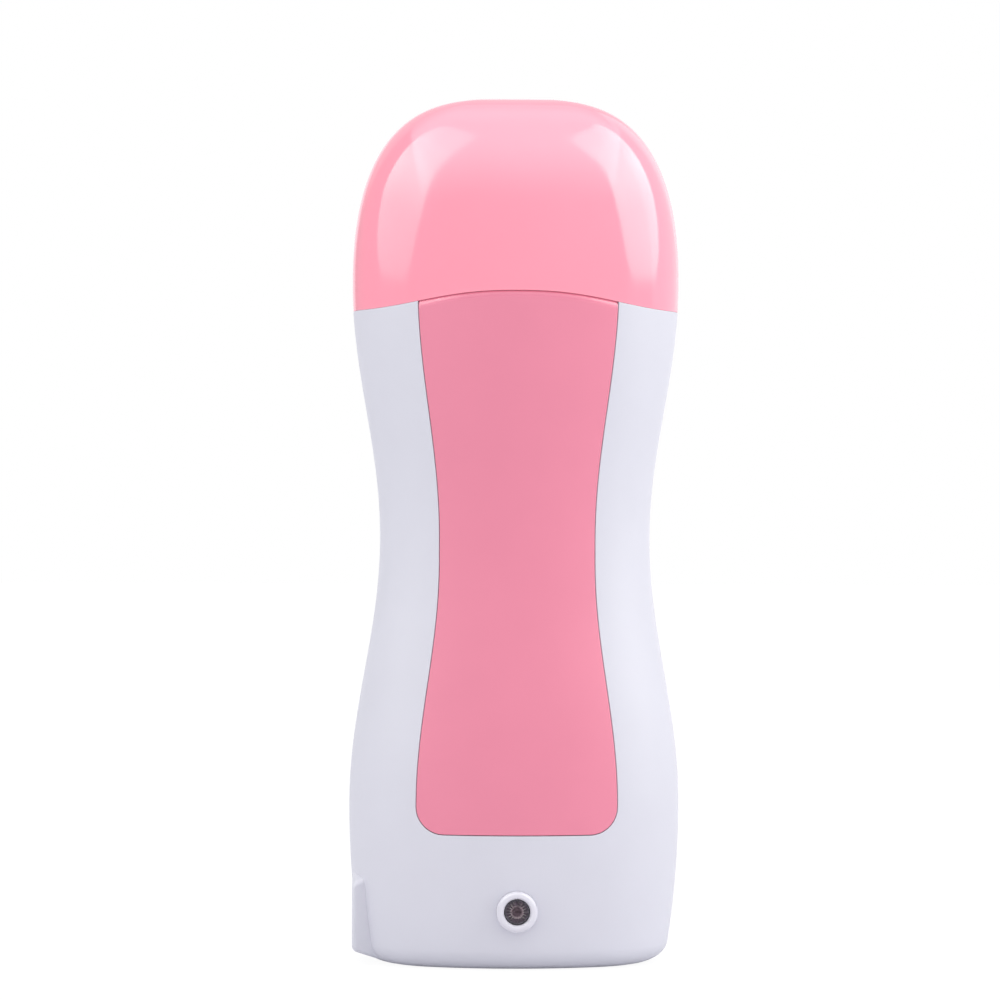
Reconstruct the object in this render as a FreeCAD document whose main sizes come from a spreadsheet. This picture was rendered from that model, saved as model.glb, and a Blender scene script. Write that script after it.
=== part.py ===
import FreeCAD, Part
import math
import os
import Sketcher
from types import SimpleNamespace

# Roll-on wax heater: a waisted two-shell housing with an inlaid front panel, a heated bay
# that holds a wax cartridge with a roller, and a domed cap.  Millimetres, +Z up, front = -Y,
# origin on the floor under the middle of the housing.

SIZES = (
    # outer form: half width and half depth of the oval section at the driving heights
    ("base_half_width", 33.8, "oval half width at the foot"),
    ("base_half_depth", 23.5, "oval half depth at the foot"),
    ("hip_height", 36.0, "height of the widest lower section"),
    ("hip_half_width", 37.5, "oval half width at the hip"),
    ("hip_half_depth", 26.5, "oval half depth at the hip"),
    ("waist_height", 96.0, "height of the narrowest section"),
    ("waist_half_width", 30.7, "oval half width at the waist"),
    ("waist_half_depth", 22.0, "oval half depth at the waist"),
    ("shoulder_over_deck", 10.3, "height where the dome begins, above the deck"),
    ("shoulder_half_width", 37.15, "oval half width at the shoulder"),
    ("shoulder_half_depth", 25.0, "oval half depth at the shoulder"),
    ("dome_rise", 42.0, "height of the dome above the shoulder"),
    ("side_roundness", 0.9, "side radius as a share of the half depth"),
    ("dome_rise_power", 2.3, "fullness of the dome in height"),
    ("dome_width_power", 3.3, "fullness of the dome across its width"),
    ("dome_depth_power", 2.2, "fullness of the dome front to back"),
    ("foot_fillet", 6.0, "rounding round the flat foot"),
    # housing shells
    ("shell_wall", 2.2, "wall of the two shells"),
    ("foot_wall", 2.4, "floor thickness of the shells"),
    ("seam_over_deck", 3.9, "height of the cap seam at the sides, above the deck"),
    ("seam_rise", 3.7, "how far the seam rises to the middle of the front and back"),
    ("seam_gap", 0.3, "gap between cap edge and housing edge"),
    ("rib_reach", 2.0, "how far the holding ribs stand in from the wall"),
    ("rib_height", 1.6, "height of each holding rib"),
    # screw pillars that join the shells
    ("pillar_radius", 3.8, "outer radius of a screw pillar"),
    ("upper_pillar_offset", 29.2, "upper pillars, distance from the middle"),
    ("upper_pillar_drop", 10.7, "upper pillars, below the deck"),
    ("lower_pillar_offset", 27.0, "lower pillars, distance from the middle"),
    ("lower_pillar_share", 0.566, "lower pillars, from the boss ledge to the bay floor's pillars"),
    ("screw_shank_radius", 1.3, "self-tapping screw shank"),
    ("screw_head_radius", 2.6, "screw head"),
    ("screw_head_height", 2.0, "screw head"),
    ("screw_length", 16.0, "shank under the head"),
    ("screw_seat_depth", 8.0, "distance of the head seat behind the parting plane"),
    ("cross_width", 0.8, "width of the cross recess"),
    ("cross_depth", 1.2, "depth of the cross recess"),
    ("fastener_clearance", 0.1, "play round screw shanks and heads"),
    # front panel inlay
    ("panel_thickness", 1.15, "thickness of the inlaid panel"),
    ("panel_seat_gap", 0.05, "gap behind the panel"),
    ("panel_edge_gap", 0.15, "gap round the panel"),
    ("panel_bottom_height", 30.4, "lower edge of the panel"),
    ("panel_corner_radius", 6.7, "lower corners of the panel"),
    ("panel_low_half_width", 22.2, "panel half width near its lower edge"),
    ("panel_waist_half_width", 17.2, "panel half width at the waist"),
    ("panel_top_half_width", 22.1, "panel half width at the cap seam"),
    ("tab_offset", 13.6, "locating tabs, distance from the middle"),
    ("tab_width", 1.4, "locating tab width"),
    ("tab_length", 6.0, "locating tab length, upright"),
    ("tab_reach", 2.6, "how far a tab stands in behind the panel seat"),
    ("tab_floor_gap", 8.3, "middle of the lowest tabs, above the bay floor"),
    ("tab_drop", 11.7, "middle of the highest tabs, below the deck plate"),
    # rear label recess
    ("label_half_width", 17.0, "bare recess on the rear"),
    ("label_low_height", 44.0, "lower edge of the recess"),
    ("label_height", 24.0, "height of the recess"),
    ("label_depth", 0.4, "depth of the recess"),
    # cap and neck
    ("cap_wall", 2.0, "wall of the cap"),
    ("neck_gap", 0.3, "gap between neck and shells"),
    ("rib_gap", 0.1, "play of the bay floor under its upper rib"),
    ("neck_wall", 1.6, "wall of the upstanding neck"),
    ("neck_deck_thickness", 2.0, "thickness of the deck"),
    ("neck_rise", 13.8, "height of the neck above the deck"),
    ("bead_reach", 0.9, "how far the holding beads stand out of the neck"),
    ("bead_gap", 0.1, "play of the beads in their grooves"),
    ("bead_height", 1.0, "height of the holding beads"),
    ("bead_offset", 30.0, "beads start at this distance from the middle"),
    # cartridge bay
    ("bay_floor_thickness", 2.5, "thickness of the bay floor"),
    ("bay_floor_gap", 0.15, "gap between floor edge and shells"),
    ("tray_wall", 1.0, "aluminium sheet of the heat tray"),
    ("tray_gap", 0.6, "gap between cartridge and heat tray"),
    ("tray_top_gap", 4.0, "heat tray below the deck plate"),
    ("tray_front", 9.0, "distance of the tray's front edges ahead of the middle"),
    ("tray_lug_reach", 5.8, "screw lug of the tray"),
    ("tray_lug_half_width", 4.0, "screw lug of the tray"),
    ("lug_screw_inset", 2.8, "lug screw, distance outside the tray"),
    ("lug_pillar_radius", 3.0, "pillars under the bay floor"),
    ("lug_pillar_height", 7.0, "pillars under the bay floor"),
    ("lug_screw_length", 6.0, "lug screw shank"),
    # wax cartridge
    ("tank_half_width", 23.0, "cartridge tank"),
    ("tank_half_depth", 14.0, "cartridge tank"),
    ("tank_corner_radius", 8.0, "cartridge tank"),
    ("tank_height", 96.0, "cartridge tank"),
    ("tank_wall", 1.0, "cartridge tank"),
    ("tank_foot_fillet", 2.0, "cartridge tank"),
    ("slide_gap", 0.3, "play of the cartridge against deck and floor"),
    ("opening_gap", 1.2, "play round the tank in the deck opening"),
    ("wax_headroom", 9.0, "air above the wax"),
    ("wax_gap", 0.1, "gap between wax and tank"),
    # cartridge head and roller
    ("flange_overhang", 2.4, "head flange beyond the tank"),
    ("flange_thickness", 3.0, "head flange"),
    ("plug_length", 5.0, "part of the head inside the tank"),
    ("plug_wall", 1.5, "wall of that part"),
    ("plug_gap", 0.1, "gap between plug and tank"),
    ("head_half_width", 23.0, "roller block"),
    ("head_half_depth", 11.5, "roller block"),
    ("head_corner_radius", 3.0, "roller block"),
    ("head_height", 13.0, "roller block above the flange"),
    ("roller_radius", 8.5, "roller"),
    ("roller_half_length", 19.0, "roller"),
    ("roller_end_radius", 1.0, "rounding of the roller ends"),
    ("roller_rise", 16.0, "roller axis above the flange"),
    ("roller_gap", 0.35, "gap between roller and its trough"),
    ("cheek_radius", 5.0, "round top of the roller cheeks"),
    ("pin_radius", 1.5, "steel roller pin"),
    ("pin_running_gap", 0.05, "running gap of the pin in the cheeks"),
    ("pin_inset", 0.4, "pin ends inside the cheeks"),
    ("feed_half_width", 15.0, "wax slot under the roller"),
    ("feed_half_depth", 3.5, "wax slot under the roller"),
    # heater parts on the back of the tray
    ("ptc_half_width", 8.0, "heating element"),
    ("ptc_height", 24.0, "heating element"),
    ("ptc_thickness", 2.8, "heating element"),
    ("ptc_bottom_height", 52.0, "heating element"),
    ("ptc_floor_gap", 4.3, "heating element above the bay floor"),
    ("ptc_tab_half_width", 1.5, "solder tab of the element"),
    ("ptc_tab_length", 3.0, "solder tab of the element"),
    ("ptc_tab_thickness", 0.6, "solder tab of the element"),
    ("ptc_tab_offset", 5.0, "solder tabs, distance from the middle"),
    ("sheet_thickness", 0.4, "insulation sheet"),
    ("sheet_margin", 0.6, "insulation sheet inside the element's edge"),
    ("clip_thickness", 0.5, "spring clip sheet"),
    ("clip_half_width", 14.5, "spring clip over its feet"),
    ("clip_height", 10.0, "spring clip"),
    ("clip_gap", 0.4, "clip beside the element"),
    ("rivet_radius", 1.5, "clip rivets"),
    ("rivet_height", 0.9, "clip rivets"),
    ("thermostat_width", 7.5, "thermostat"),
    ("thermostat_height", 18.0, "thermostat"),
    ("thermostat_thickness", 2.8, "thermostat"),
    ("thermostat_gap", 6.0, "thermostat above the element"),
    ("thermostat_offset", 5.2, "thermostat middle, left of the centre line"),
    ("fuse_radius", 1.6, "thermal fuse"),
    ("fuse_length", 11.0, "thermal fuse"),
    ("fuse_gap", 8.0, "thermal fuse above the element"),
    ("fuse_wire_radius", 0.4, "thermal fuse"),
    # power inlet
    ("inlet_height", 11.0, "height of the inlet axis"),
    ("inlet_face", 36.7, "outer face of the inlet boss, from the middle"),
    ("inlet_half_width", 10.0, "inlet moulding, along the depth"),
    ("inlet_half_height", 5.9, "inlet moulding"),
    ("inlet_corner_radius", 3.0, "inlet moulding"),
    ("inlet_step", 0.2, "inlet face behind the boss face"),
    ("inlet_slot_gap", 0.1, "gap round the inlet moulding"),
    ("socket_half_width", 8.1, "figure-eight socket, along the depth"),
    ("socket_half_height", 4.15, "figure-eight socket"),
    ("socket_corner_radius", 4.0, "figure-eight socket"),
    ("socket_depth", 13.0, "figure-eight socket"),
    ("inlet_back", 2.2, "back wall of the inlet"),
    ("contact_radius", 1.2, "contact pin"),
    ("contact_offset", 4.3, "contact pins, distance from the inlet axis"),
    ("contact_reach", 10.0, "free length of a contact pin"),
    ("contact_tail", 5.0, "tail behind the inlet"),
    ("contact_root_radius", 1.5, "thicker root of a pin in the back wall"),
    ("contact_gap", 0.03, "gap round a contact pin in the back wall"),
    ("boss_half_width", 10.6, "inlet boss, along the depth"),
    ("boss_low_height", 2.1, "lower edge of the boss"),
    ("boss_high_height", 18.6, "upper edge of the boss face"),
    ("boss_ledge_rise", 3.0, "rise of the sloping ledge over the boss"),
    ("boss_draft", 0.8, "how much the boss widens toward the shell"),
    ("boss_root", 28.0, "inner end of the boss, from the middle"),
    # indicator lamp
    ("lamp_height", 13.5, "height of the lamp axis"),
    ("bezel_radius", 4.65, "bezel ring"),
    ("bezel_rise", 2.3, "bezel ring in front of the shell"),
    ("bezel_lip_fillet", 1.1, "rounding of the ring"),
    ("bezel_flange_radius", 6.2, "flange behind the shell"),
    ("bezel_flange_thickness", 1.2, "flange behind the shell"),
    ("bezel_hole_gap", 0.1, "gap round the bezel in the shell"),
    ("bezel_pad_radius", 7.6, "flat pad inside the shell"),
    ("bezel_pad_depth", 4.2, "rear of the pad behind the front of the shell"),
    ("lens_radius", 2.9, "lens"),
    ("lens_step", 0.7, "lens behind the ring face"),
    ("lens_front_length", 1.8, "front part of the lens"),
    ("lens_flange_radius", 3.6, "rear part of the lens"),
    ("lens_wall", 0.8, "front wall of the lens"),
    ("lens_bore_radius", 2.3, "bore behind the lens"),
    ("lens_gap", 0.05, "gap round the lens"),
    ("neon_radius", 1.9, "neon indicator"),
    ("neon_gap", 0.4, "neon tip behind the lens"),
    ("board_half_width", 12.0, "lamp board"),
    ("board_half_height", 6.0, "lamp board"),
    ("board_thickness", 1.2, "lamp board"),
    ("board_depth", 10.4, "front of the board behind the front of the shell"),
    ("post_radius", 2.0, "board posts"),
    ("post_offset", 9.2, "board posts, distance from the middle"),
    ("post_pin_radius", 0.9, "pins of the posts"),
    ("post_pin_length", 1.8, "pins of the posts"),
    ("resistor_radius", 1.2, "lamp resistor"),
    ("resistor_half_length", 3.2, "lamp resistor"),
    ("resistor_rise", 3.0, "lamp resistor above the lamp axis"),
    ("wire_radius", 0.3, "component wires"),
    ("wire_reach", 1.4, "component wire beyond its body"),
    # leads
    ("lead_radius", 0.8, "mains leads"),
    ("lamp_lead_radius", 0.5, "lamp leads"),
    ("lead_hole_gap", 0.8, "gap round a lead in the bay floor"),
    ("live_offset", 15.9, "live lead beside the element, from the middle"),
    ("live_depth", 16.6, "live lead behind the middle"),
    ("live_first_run", 7.0, "live lead, straight run from its contact"),
    ("live_turn_rise", 18.0, "live lead, first turn above the inlet axis"),
    ("live_turn_inset", 4.0, "live lead, first turn inside its riser"),
    ("live_riser_rise", 27.0, "live lead, foot of the riser above the inlet axis"),
    ("live_clip_gap", 2.0, "live lead, top of the riser above the clip"),
    ("live_last_run", 4.0, "live lead, last run to the thermostat"),
    ("neutral_first_run", 9.0, "neutral lead, straight run from its contact"),
    ("neutral_turn_rise", 16.0, "neutral lead, first turn above the inlet axis"),
    ("neutral_turn_inset", 4.5, "neutral lead, first turn beside and ahead of its riser"),
    ("neutral_riser_rise", 24.0, "neutral lead, foot of the riser above the inlet axis"),
    ("fuse_lead_rise", 4.0, "fuse lead above the thermostat"),
    ("lamp_lead_inset", 1.5, "lamp leads, distance from the end of a contact"),
    ("lamp_lead_rise", 5.5, "lamp leads above the contacts"),
    ("lamp_lead_spread", 1.0, "height between the lamp leads, each way"),
    ("lamp_lead_run", 4.0, "lamp leads, first run to the right"),
    ("lamp_lead_drop", 5.0, "lamp leads behind the board where they turn down"),
    ("lamp_lead_end", 3.0, "lamp leads, last run and distance beside the resistor"),
    ("lamp_joint_offset", 2.5, "solder joints above and below the lamp axis"),
)


class Size:
    """A length with its number and the sheet expression it comes from."""

    def __init__(self, number, text):
        self.number = float(number)
        self.text = text

    def __float__(self):
        return self.number

    def __add__(self, other):
        return Size(self.number + float(other), f"({self.text} + {words(other)})")

    def __radd__(self, other):
        return Size(float(other) + self.number, f"({words(other)} + {self.text})")

    def __sub__(self, other):
        return Size(self.number - float(other), f"({self.text} - {words(other)})")

    def __rsub__(self, other):
        return Size(float(other) - self.number, f"({words(other)} - {self.text})")

    def __mul__(self, other):
        return Size(self.number * float(other), f"({self.text} * {words(other)})")

    def __rmul__(self, other):
        return Size(float(other) * self.number, f"({words(other)} * {self.text})")

    def __truediv__(self, other):
        return Size(self.number / float(other), f"({self.text} / {words(other)})")

    def __neg__(self):
        return Size(-self.number, f"(0 - {self.text})")


def words(value):
    return value.text if isinstance(value, Size) else repr(float(value))


def make_sheet():
    """The spreadsheet of driving sizes, and the same sizes by name."""
    sheet = doc.addObject("Spreadsheet::Sheet", "Sizes")
    named = {}
    for row, (alias, number, note) in enumerate(SIZES, start=1):
        sheet.set(f"A{row}", alias)
        sheet.set(f"B{row}", str(number))
        sheet.setAlias(f"B{row}", alias)
        sheet.set(f"C{row}", note)
        named[alias] = Size(number, f"Sizes.{alias}")
    doc.recompute()
    return SimpleNamespace(**named)


def add_stack():
    """Heights that follow from the element, the bay floor and the tank that stands on it."""
    s.bay_floor_height = s.ptc_bottom_height - s.ptc_floor_gap
    s.tank_low_height = s.bay_floor_height + s.slide_gap
    s.neck_deck_height = s.tank_low_height + s.tank_height - s.slide_gap
    s.neck_top_height = s.neck_deck_height + s.neck_rise
    s.seam_side_height = s.neck_deck_height + s.seam_over_deck
    s.shoulder_height = s.neck_deck_height + s.shoulder_over_deck
    s.upper_pillar_height = s.neck_deck_height - s.upper_pillar_drop
    lug_pillar_low = s.bay_floor_height - s.bay_floor_thickness - s.lug_pillar_height
    ledge_top = s.boss_high_height + s.boss_ledge_rise
    s.lower_pillar_height = ledge_top + (lug_pillar_low - ledge_top) * s.lower_pillar_share
    deck_low = s.neck_deck_height - s.neck_deck_thickness
    s.tray_height = deck_low - s.tray_top_gap - s.bay_floor_height
    s.tab_low_height = s.bay_floor_height + s.tab_floor_gap
    s.tab_pitch = (deck_low - s.tab_drop - s.tab_low_height) / 2
    element_top = s.ptc_bottom_height + s.ptc_height
    s.thermostat_bottom_height = element_top + s.thermostat_gap
    s.fuse_bottom_height = element_top + s.fuse_gap


doc = FreeCAD.newDocument("RollOnWaxHeater")
s = make_sheet()
add_stack()
nodes = []

# distance past a surface that a cutting or joining solid reaches
PAST = 1.0
FAR = 60.0
QUARTER = math.pi / 2
# the dome's sections run to this angle, just short of its top
DOME_SPAN = math.radians(88)
# a bend's arc takes this share of the shorter run beside it
BEND_SHARE = 0.45
# turned details, as shares of a radius or a half depth
HEAD_TOP_SHARE = 0.7
CROSS_ARM_SHARE = 0.55
RIVET_SHOULDER_SHARE = 0.85
BULB_TIP_SHARE = 0.8
CHEEK_FOOT_SHARE = 0.7
CHEEK_TOP_SHARE = 0.6
TURN_TO_X = FreeCAD.Rotation(FreeCAD.Vector(0, 1, 0), 90)
TURN_TO_Y = FreeCAD.Rotation(FreeCAD.Vector(1, 0, 0), -90)


# ---------------------------------------------------------------- helpers

def vec(x, y, z):
    return FreeCAD.Vector(float(x), float(y), float(z))


def bind(thing, **properties):
    """Bind properties to sheet expressions; a double underscore stands for a dot."""
    for name, value in properties.items():
        thing.setExpression(name.replace("__", "."), words(value))


def place(thing, x, y, z, turn=None):
    if turn is not None:
        thing.Placement = FreeCAD.Placement(vec(x, y, z), turn)
    bind(thing, Placement__Base__x=x, Placement__Base__y=y, Placement__Base__z=z)


def node(thing, label):
    """Name a finished sub-part; its label is its file name."""
    thing.Label = label
    nodes.append(thing)
    return thing


def box(name, x, y, z):
    """A box between the low and high value of each pair."""
    solid = doc.addObject("Part::Box", name)
    bind(solid, Length=x[1] - x[0], Width=y[1] - y[0], Height=z[1] - z[0])
    place(solid, x[0], y[0], z[0])
    return solid


def cylinder(name, radius, length, start, turn=None):
    solid = doc.addObject("Part::Cylinder", name)
    bind(solid, Radius=radius, Height=length)
    place(solid, *start, turn=turn)
    return solid


def fuse(name, *parts):
    joined = doc.addObject("Part::MultiFuse", name)
    joined.Shapes = list(parts)
    return joined


def common(name, *parts):
    shared = doc.addObject("Part::MultiCommon", name)
    shared.Shapes = list(parts)
    return shared


def cut(name, base, *tools):
    rest = doc.addObject("Part::Cut", name)
    rest.Base = base
    rest.Tool = tools[0] if len(tools) == 1 else fuse(name + "_tools", *tools)
    return rest


def shaped(name, shape):
    feature = doc.addObject("Part::Feature", name)
    feature.Shape = shape
    return feature


def copies(name, source, places):
    """Equal solids of one source at several places."""
    doc.recompute()
    moved = []
    for x, y, z in places:
        solid = source.Shape.copy()
        solid.translate(vec(x, y, z))
        moved.append(solid)
    return shaped(name, Part.makeCompound(moved))


def new_body(name):
    return doc.addObject("PartDesign::Body", name)


def new_sketch(body, name, plane, offset=None):
    """A sketch on one of the body's own origin planes, moved along the plane's normal."""
    sketch = body.newObject("Sketcher::SketchObject", name)
    support = [item for item in body.Origin.OriginFeatures if item.Role == plane][0]
    sketch.AttachmentSupport = [(support, "")]
    sketch.MapMode = "FlatFace"
    if offset is not None:
        bind(sketch, AttachmentOffset__Base__z=offset)
    return sketch


def pin_point(sketch, where, x, y):
    """Fix a sketch point at x, y from the sketch origin."""
    for kind, value in (("DistanceX", x), ("DistanceY", y)):
        index = sketch.addConstraint(Sketcher.Constraint(kind, -1, 1, *where, float(value)))
        sketch.setExpression(f"Constraints[{index}]", words(value))


def circle(sketch, radius, x=0, y=0):
    index = sketch.addGeometry(Part.Circle(vec(x, y, 0), vec(0, 0, 1), float(radius)))
    pin_point(sketch, (index, 3), x, y)
    size = sketch.addConstraint(Sketcher.Constraint("Radius", index, float(radius)))
    sketch.setExpression(f"Constraints[{size}]", words(radius))


def polygon(sketch, points):
    """A closed outline of straight lines through points given as sizes."""
    first = sketch.GeometryCount
    count = len(points)
    for index, (x, y) in enumerate(points):
        after = points[(index + 1) % count]
        sketch.addGeometry(Part.LineSegment(vec(x, y, 0), vec(after[0], after[1], 0)))
    for index, (x, y) in enumerate(points):
        following = first + (index + 1) % count
        sketch.addConstraint(Sketcher.Constraint("Coincident", first + index, 2, following, 1))
        pin_point(sketch, (first + index, 1), x, y)


def rounded_rectangle(sketch, half_x, half_y, radius):
    """A rectangle about the sketch origin with four equal corner arcs."""
    w, d, r = float(half_x), float(half_y), float(radius)
    corners = ((w - r, r - d, -QUARTER), (w - r, d - r, 0), (r - w, d - r, QUARTER),
               (r - w, r - d, 2 * QUARTER))
    ends = []
    first = sketch.GeometryCount
    for x, y, a in corners:
        b = a + QUARTER
        ends.append((vec(x + r * math.cos(a), y + r * math.sin(a), 0),
                     vec(x + r * math.cos(b), y + r * math.sin(b), 0)))
        round_part = Part.Circle(vec(x, y, 0), vec(0, 0, 1), r)
        sketch.addGeometry(Part.ArcOfCircle(round_part, a, b))
    for index in range(4):
        sketch.addGeometry(Part.LineSegment(ends[index][1], ends[(index + 1) % 4][0]))
    for index in range(4):
        arc, line, following = first + index, first + 4 + index, first + (index + 1) % 4
        sketch.addConstraint(Sketcher.Constraint("Tangent", arc, 2, line, 1))
        sketch.addConstraint(Sketcher.Constraint("Tangent", line, 2, following, 1))
        sketch.addConstraint(Sketcher.Constraint("Horizontal" if index % 2 else "Vertical", line))
    for index in range(1, 4):
        sketch.addConstraint(Sketcher.Constraint("Equal", first, first + index))
    size = sketch.addConstraint(Sketcher.Constraint("Radius", first, r))
    sketch.setExpression(f"Constraints[{size}]", words(radius))
    sides = (("DistanceX", 4, half_x), ("DistanceY", 5, half_y),
             ("DistanceX", 6, -half_x), ("DistanceY", 7, -half_y))
    for kind, line, value in sides:
        index = sketch.addConstraint(
            Sketcher.Constraint(kind, -1, 1, first + line, 1, float(value)))
        sketch.setExpression(f"Constraints[{index}]", words(value))


def pad(body, name, sketch, length, both_ways=False):
    feature = body.newObject("PartDesign::Pad", name)
    feature.Profile = sketch
    feature.Midplane = both_ways
    bind(feature, Length=length)
    sketch.Visibility = False
    doc.recompute()
    return feature


def pocket(body, name, sketch, length, reverse=False):
    """A cut into the body; it must take volume away."""
    before = body.Shape.Volume
    feature = body.newObject("PartDesign::Pocket", name)
    feature.Profile = sketch
    feature.Reversed = reverse
    bind(feature, Length=length)
    sketch.Visibility = False
    doc.recompute()
    if body.Shape.Volume >= before:
        raise RuntimeError(f"{name} cuts nothing")
    return feature


def revolve(body, name, sketch, axis):
    feature = body.newObject("PartDesign::Revolution", name)
    feature.Profile = sketch
    feature.ReferenceAxis = (sketch, [axis])
    feature.Angle = 360
    doc.recompute()
    return feature


def round_edges(body, name, base, radius, wanted):
    """Fillet every edge that the test accepts."""
    feature = body.newObject("PartDesign::Fillet", name)
    picked = [f"Edge{i}" for i, edge in enumerate(base.Shape.Edges, start=1) if wanted(edge)]
    feature.Base = (base, picked)
    bind(feature, Radius=radius)
    doc.recompute()
    return feature


def is_flat_at(edge, height, tolerance=1e-4):
    """True when the whole edge lies at one height."""
    bounds = edge.BoundBox
    low = abs(bounds.ZMin - height) < tolerance
    return low and abs(bounds.ZMax - height) < tolerance


def run_along(points):
    """A wire of straight runs joined by tangent arcs."""
    corners = [vec(*point) for point in points]
    edges = []
    last = corners[0]
    for before, corner, after in zip(corners, corners[1:], corners[2:]):
        back = (before - corner).normalize()
        on = (after - corner).normalize()
        run = min((before - corner).Length, (after - corner).Length)
        trim = BEND_SHARE * run
        start = corner + back * trim
        end = corner + on * trim
        half = back.getAngle(on) / 2
        bisector = (back + on).normalize()
        reach = trim / math.cos(half) - trim * math.tan(half)
        edges.append(Part.LineSegment(last, start).toShape())
        edges.append(Part.Arc(start, corner + bisector * reach, end).toShape())
        last = end
    edges.append(Part.LineSegment(last, corners[-1]).toShape())
    return Part.Wire(edges)


def tube(points, radius):
    """A round solid that follows straight runs and arcs."""
    path = run_along(points)
    start = vec(*points[0])
    along = vec(*points[1]) - start
    ring = Part.Wire(Part.makeCircle(float(radius), start, along))
    return path.makePipeShell([ring], True, False)


# ---------------------------------------------------------------- outer form

def ease(share):
    return (1 - math.cos(math.pi * share)) / 2


def half_sizes(z, inset):
    """Half width and half depth of the outer form at height z, drawn in by the inset."""
    hip, waist, shoulder = float(s.hip_height), float(s.waist_height), float(s.shoulder_height)
    base = (float(s.base_half_width), float(s.base_half_depth))
    low = (float(s.hip_half_width), float(s.hip_half_depth))
    middle = (float(s.waist_half_width), float(s.waist_half_depth))
    high = (float(s.shoulder_half_width), float(s.shoulder_half_depth))
    if z <= hip:
        share = ((hip - z) / hip) ** 2
        pair = [to + (base[i] - to) * share for i, to in enumerate(low)]
    elif z <= waist:
        share = ease((z - hip) / (waist - hip))
        pair = [start + (middle[i] - start) * share for i, start in enumerate(low)]
    elif z <= shoulder:
        share = ease((z - waist) / (shoulder - waist))
        pair = [start + (high[i] - start) * share for i, start in enumerate(middle)]
    else:
        rise = (z - shoulder) / (float(s.dome_rise) - inset)
        left = 1 - rise ** float(s.dome_rise_power)
        powers = (float(s.dome_width_power), float(s.dome_depth_power))
        return [(high[i] - inset) * left ** (1 / powers[i]) for i in range(2)]
    return [value - inset for value in pair]


def oval(z, inset):
    """The oval section at height z: two tight side arcs and two shallow arcs."""
    a, b = half_sizes(z, inset)
    side = (b + inset) * float(s.side_roundness) - inset
    if z > float(s.shoulder_height):
        side = b * (float(s.shoulder_half_depth) * float(s.side_roundness) - inset)
        side /= float(s.shoulder_half_depth) - inset
    flat = (b * b - side * side + (a - side) ** 2) / (2 * (b - side))
    turn = math.asin((a - side) / (flat - side))
    x = flat * math.sin(turn)
    y = flat * math.cos(turn) - (flat - b)
    ends = ((x, -y), (x, y), (-x, y), (-x, -y))
    tops = ((a, 0), (0, b), (-a, 0), (0, -b))
    arcs = []
    for index, top in enumerate(tops):
        start, end = ends[index], ends[(index + 1) % 4]
        arcs.append(Part.Arc(vec(*start, z), vec(*top, z), vec(*end, z)).toShape())
    return Part.Wire(arcs)


def heights_between(low, high, steps):
    return [low + (high - low) * step / steps for step in range(steps + 1)]


def dome_sections(inset):
    """Sections of the dome, close together near its top."""
    shoulder, rise = float(s.shoulder_height), float(s.dome_rise) - inset
    angles = heights_between(0, DOME_SPAN, 11)[1:]
    return [oval(shoulder + rise * math.sin(angle), inset) for angle in angles]


def form(inset, bottom):
    """The closed outer form from its rounded foot to the top of the dome."""
    hip, waist, shoulder = float(s.hip_height), float(s.waist_height), float(s.shoulder_height)
    round_radius = float(s.foot_fillet) - inset
    sections = []
    for angle in heights_between(0, QUARTER, 5):
        drawn_in = inset + round_radius * (1 - math.sin(angle))
        sections.append(oval(bottom + round_radius * (1 - math.cos(angle)), drawn_in))
    levels = heights_between(bottom + round_radius, hip, 3)[1:]
    levels += heights_between(hip, waist, 4)[1:]
    levels += heights_between(waist, shoulder, 4)[1:]
    sections += [oval(level, inset) for level in levels] + dome_sections(inset)
    return Part.makeLoft(sections, True, False)


def band(inset, bottom, top):
    """A slice of the form between two heights."""
    bottom, top = float(bottom), float(top)
    steps = 2 + int((top - bottom) / 4)
    sections = [oval(z, float(inset)) for z in heights_between(bottom, top, steps)]
    return Part.makeLoft(sections, True, False)


def ring(outer_inset, inner_inset, bottom, top):
    """A closed ring between two insets of the form."""
    hole = band(inner_inset, float(bottom) - PAST, float(top) + PAST)
    return band(outer_inset, bottom, top).cut(hole)


def seam_height(x):
    """Height of the seam between housing and cap at x."""
    reach = min(abs(x) / float(s.shoulder_half_width), 1)
    return float(s.seam_side_height) + float(s.seam_rise) * (1 - ease(reach))


def above_seam(lift):
    """Everything above the seam wave, raised by the lift."""
    half = float(s.shoulder_half_width)
    steps = 8
    points = [vec(x, -FAR, seam_height(x) + lift) for x in heights_between(-half, half, steps)]
    wave = Part.BSplineCurve()
    wave.interpolate(Points=points, InitialTangent=vec(1, 0, 0), FinalTangent=vec(1, 0, 0))
    side = points[0].z
    roof = float(s.shoulder_height + s.dome_rise) + PAST
    outline = [vec(half, -FAR, side), vec(FAR, -FAR, side), vec(FAR, -FAR, roof),
               vec(-FAR, -FAR, roof), vec(-FAR, -FAR, side), vec(-half, -FAR, side)]
    edges = [wave.toShape()]
    for start, end in zip(outline, outline[1:]):
        edges.append(Part.LineSegment(start, end).toShape())
    return Part.Face(Part.Wire(edges)).extrude(vec(0, 2 * FAR, 0))


def panel_half_width(z):
    """Half width of the front panel at height z, above its lower corners."""
    low, middle, high = (float(s.panel_low_half_width), float(s.panel_waist_half_width),
                         float(s.panel_top_half_width))
    start = float(s.panel_bottom_height + s.panel_corner_radius)
    waist, shoulder = float(s.waist_height), float(s.shoulder_height)
    if z <= waist:
        return low + (middle - low) * ease((z - start) / (waist - start))
    return middle + (high - middle) * ease((z - waist) / (shoulder - waist))


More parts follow.
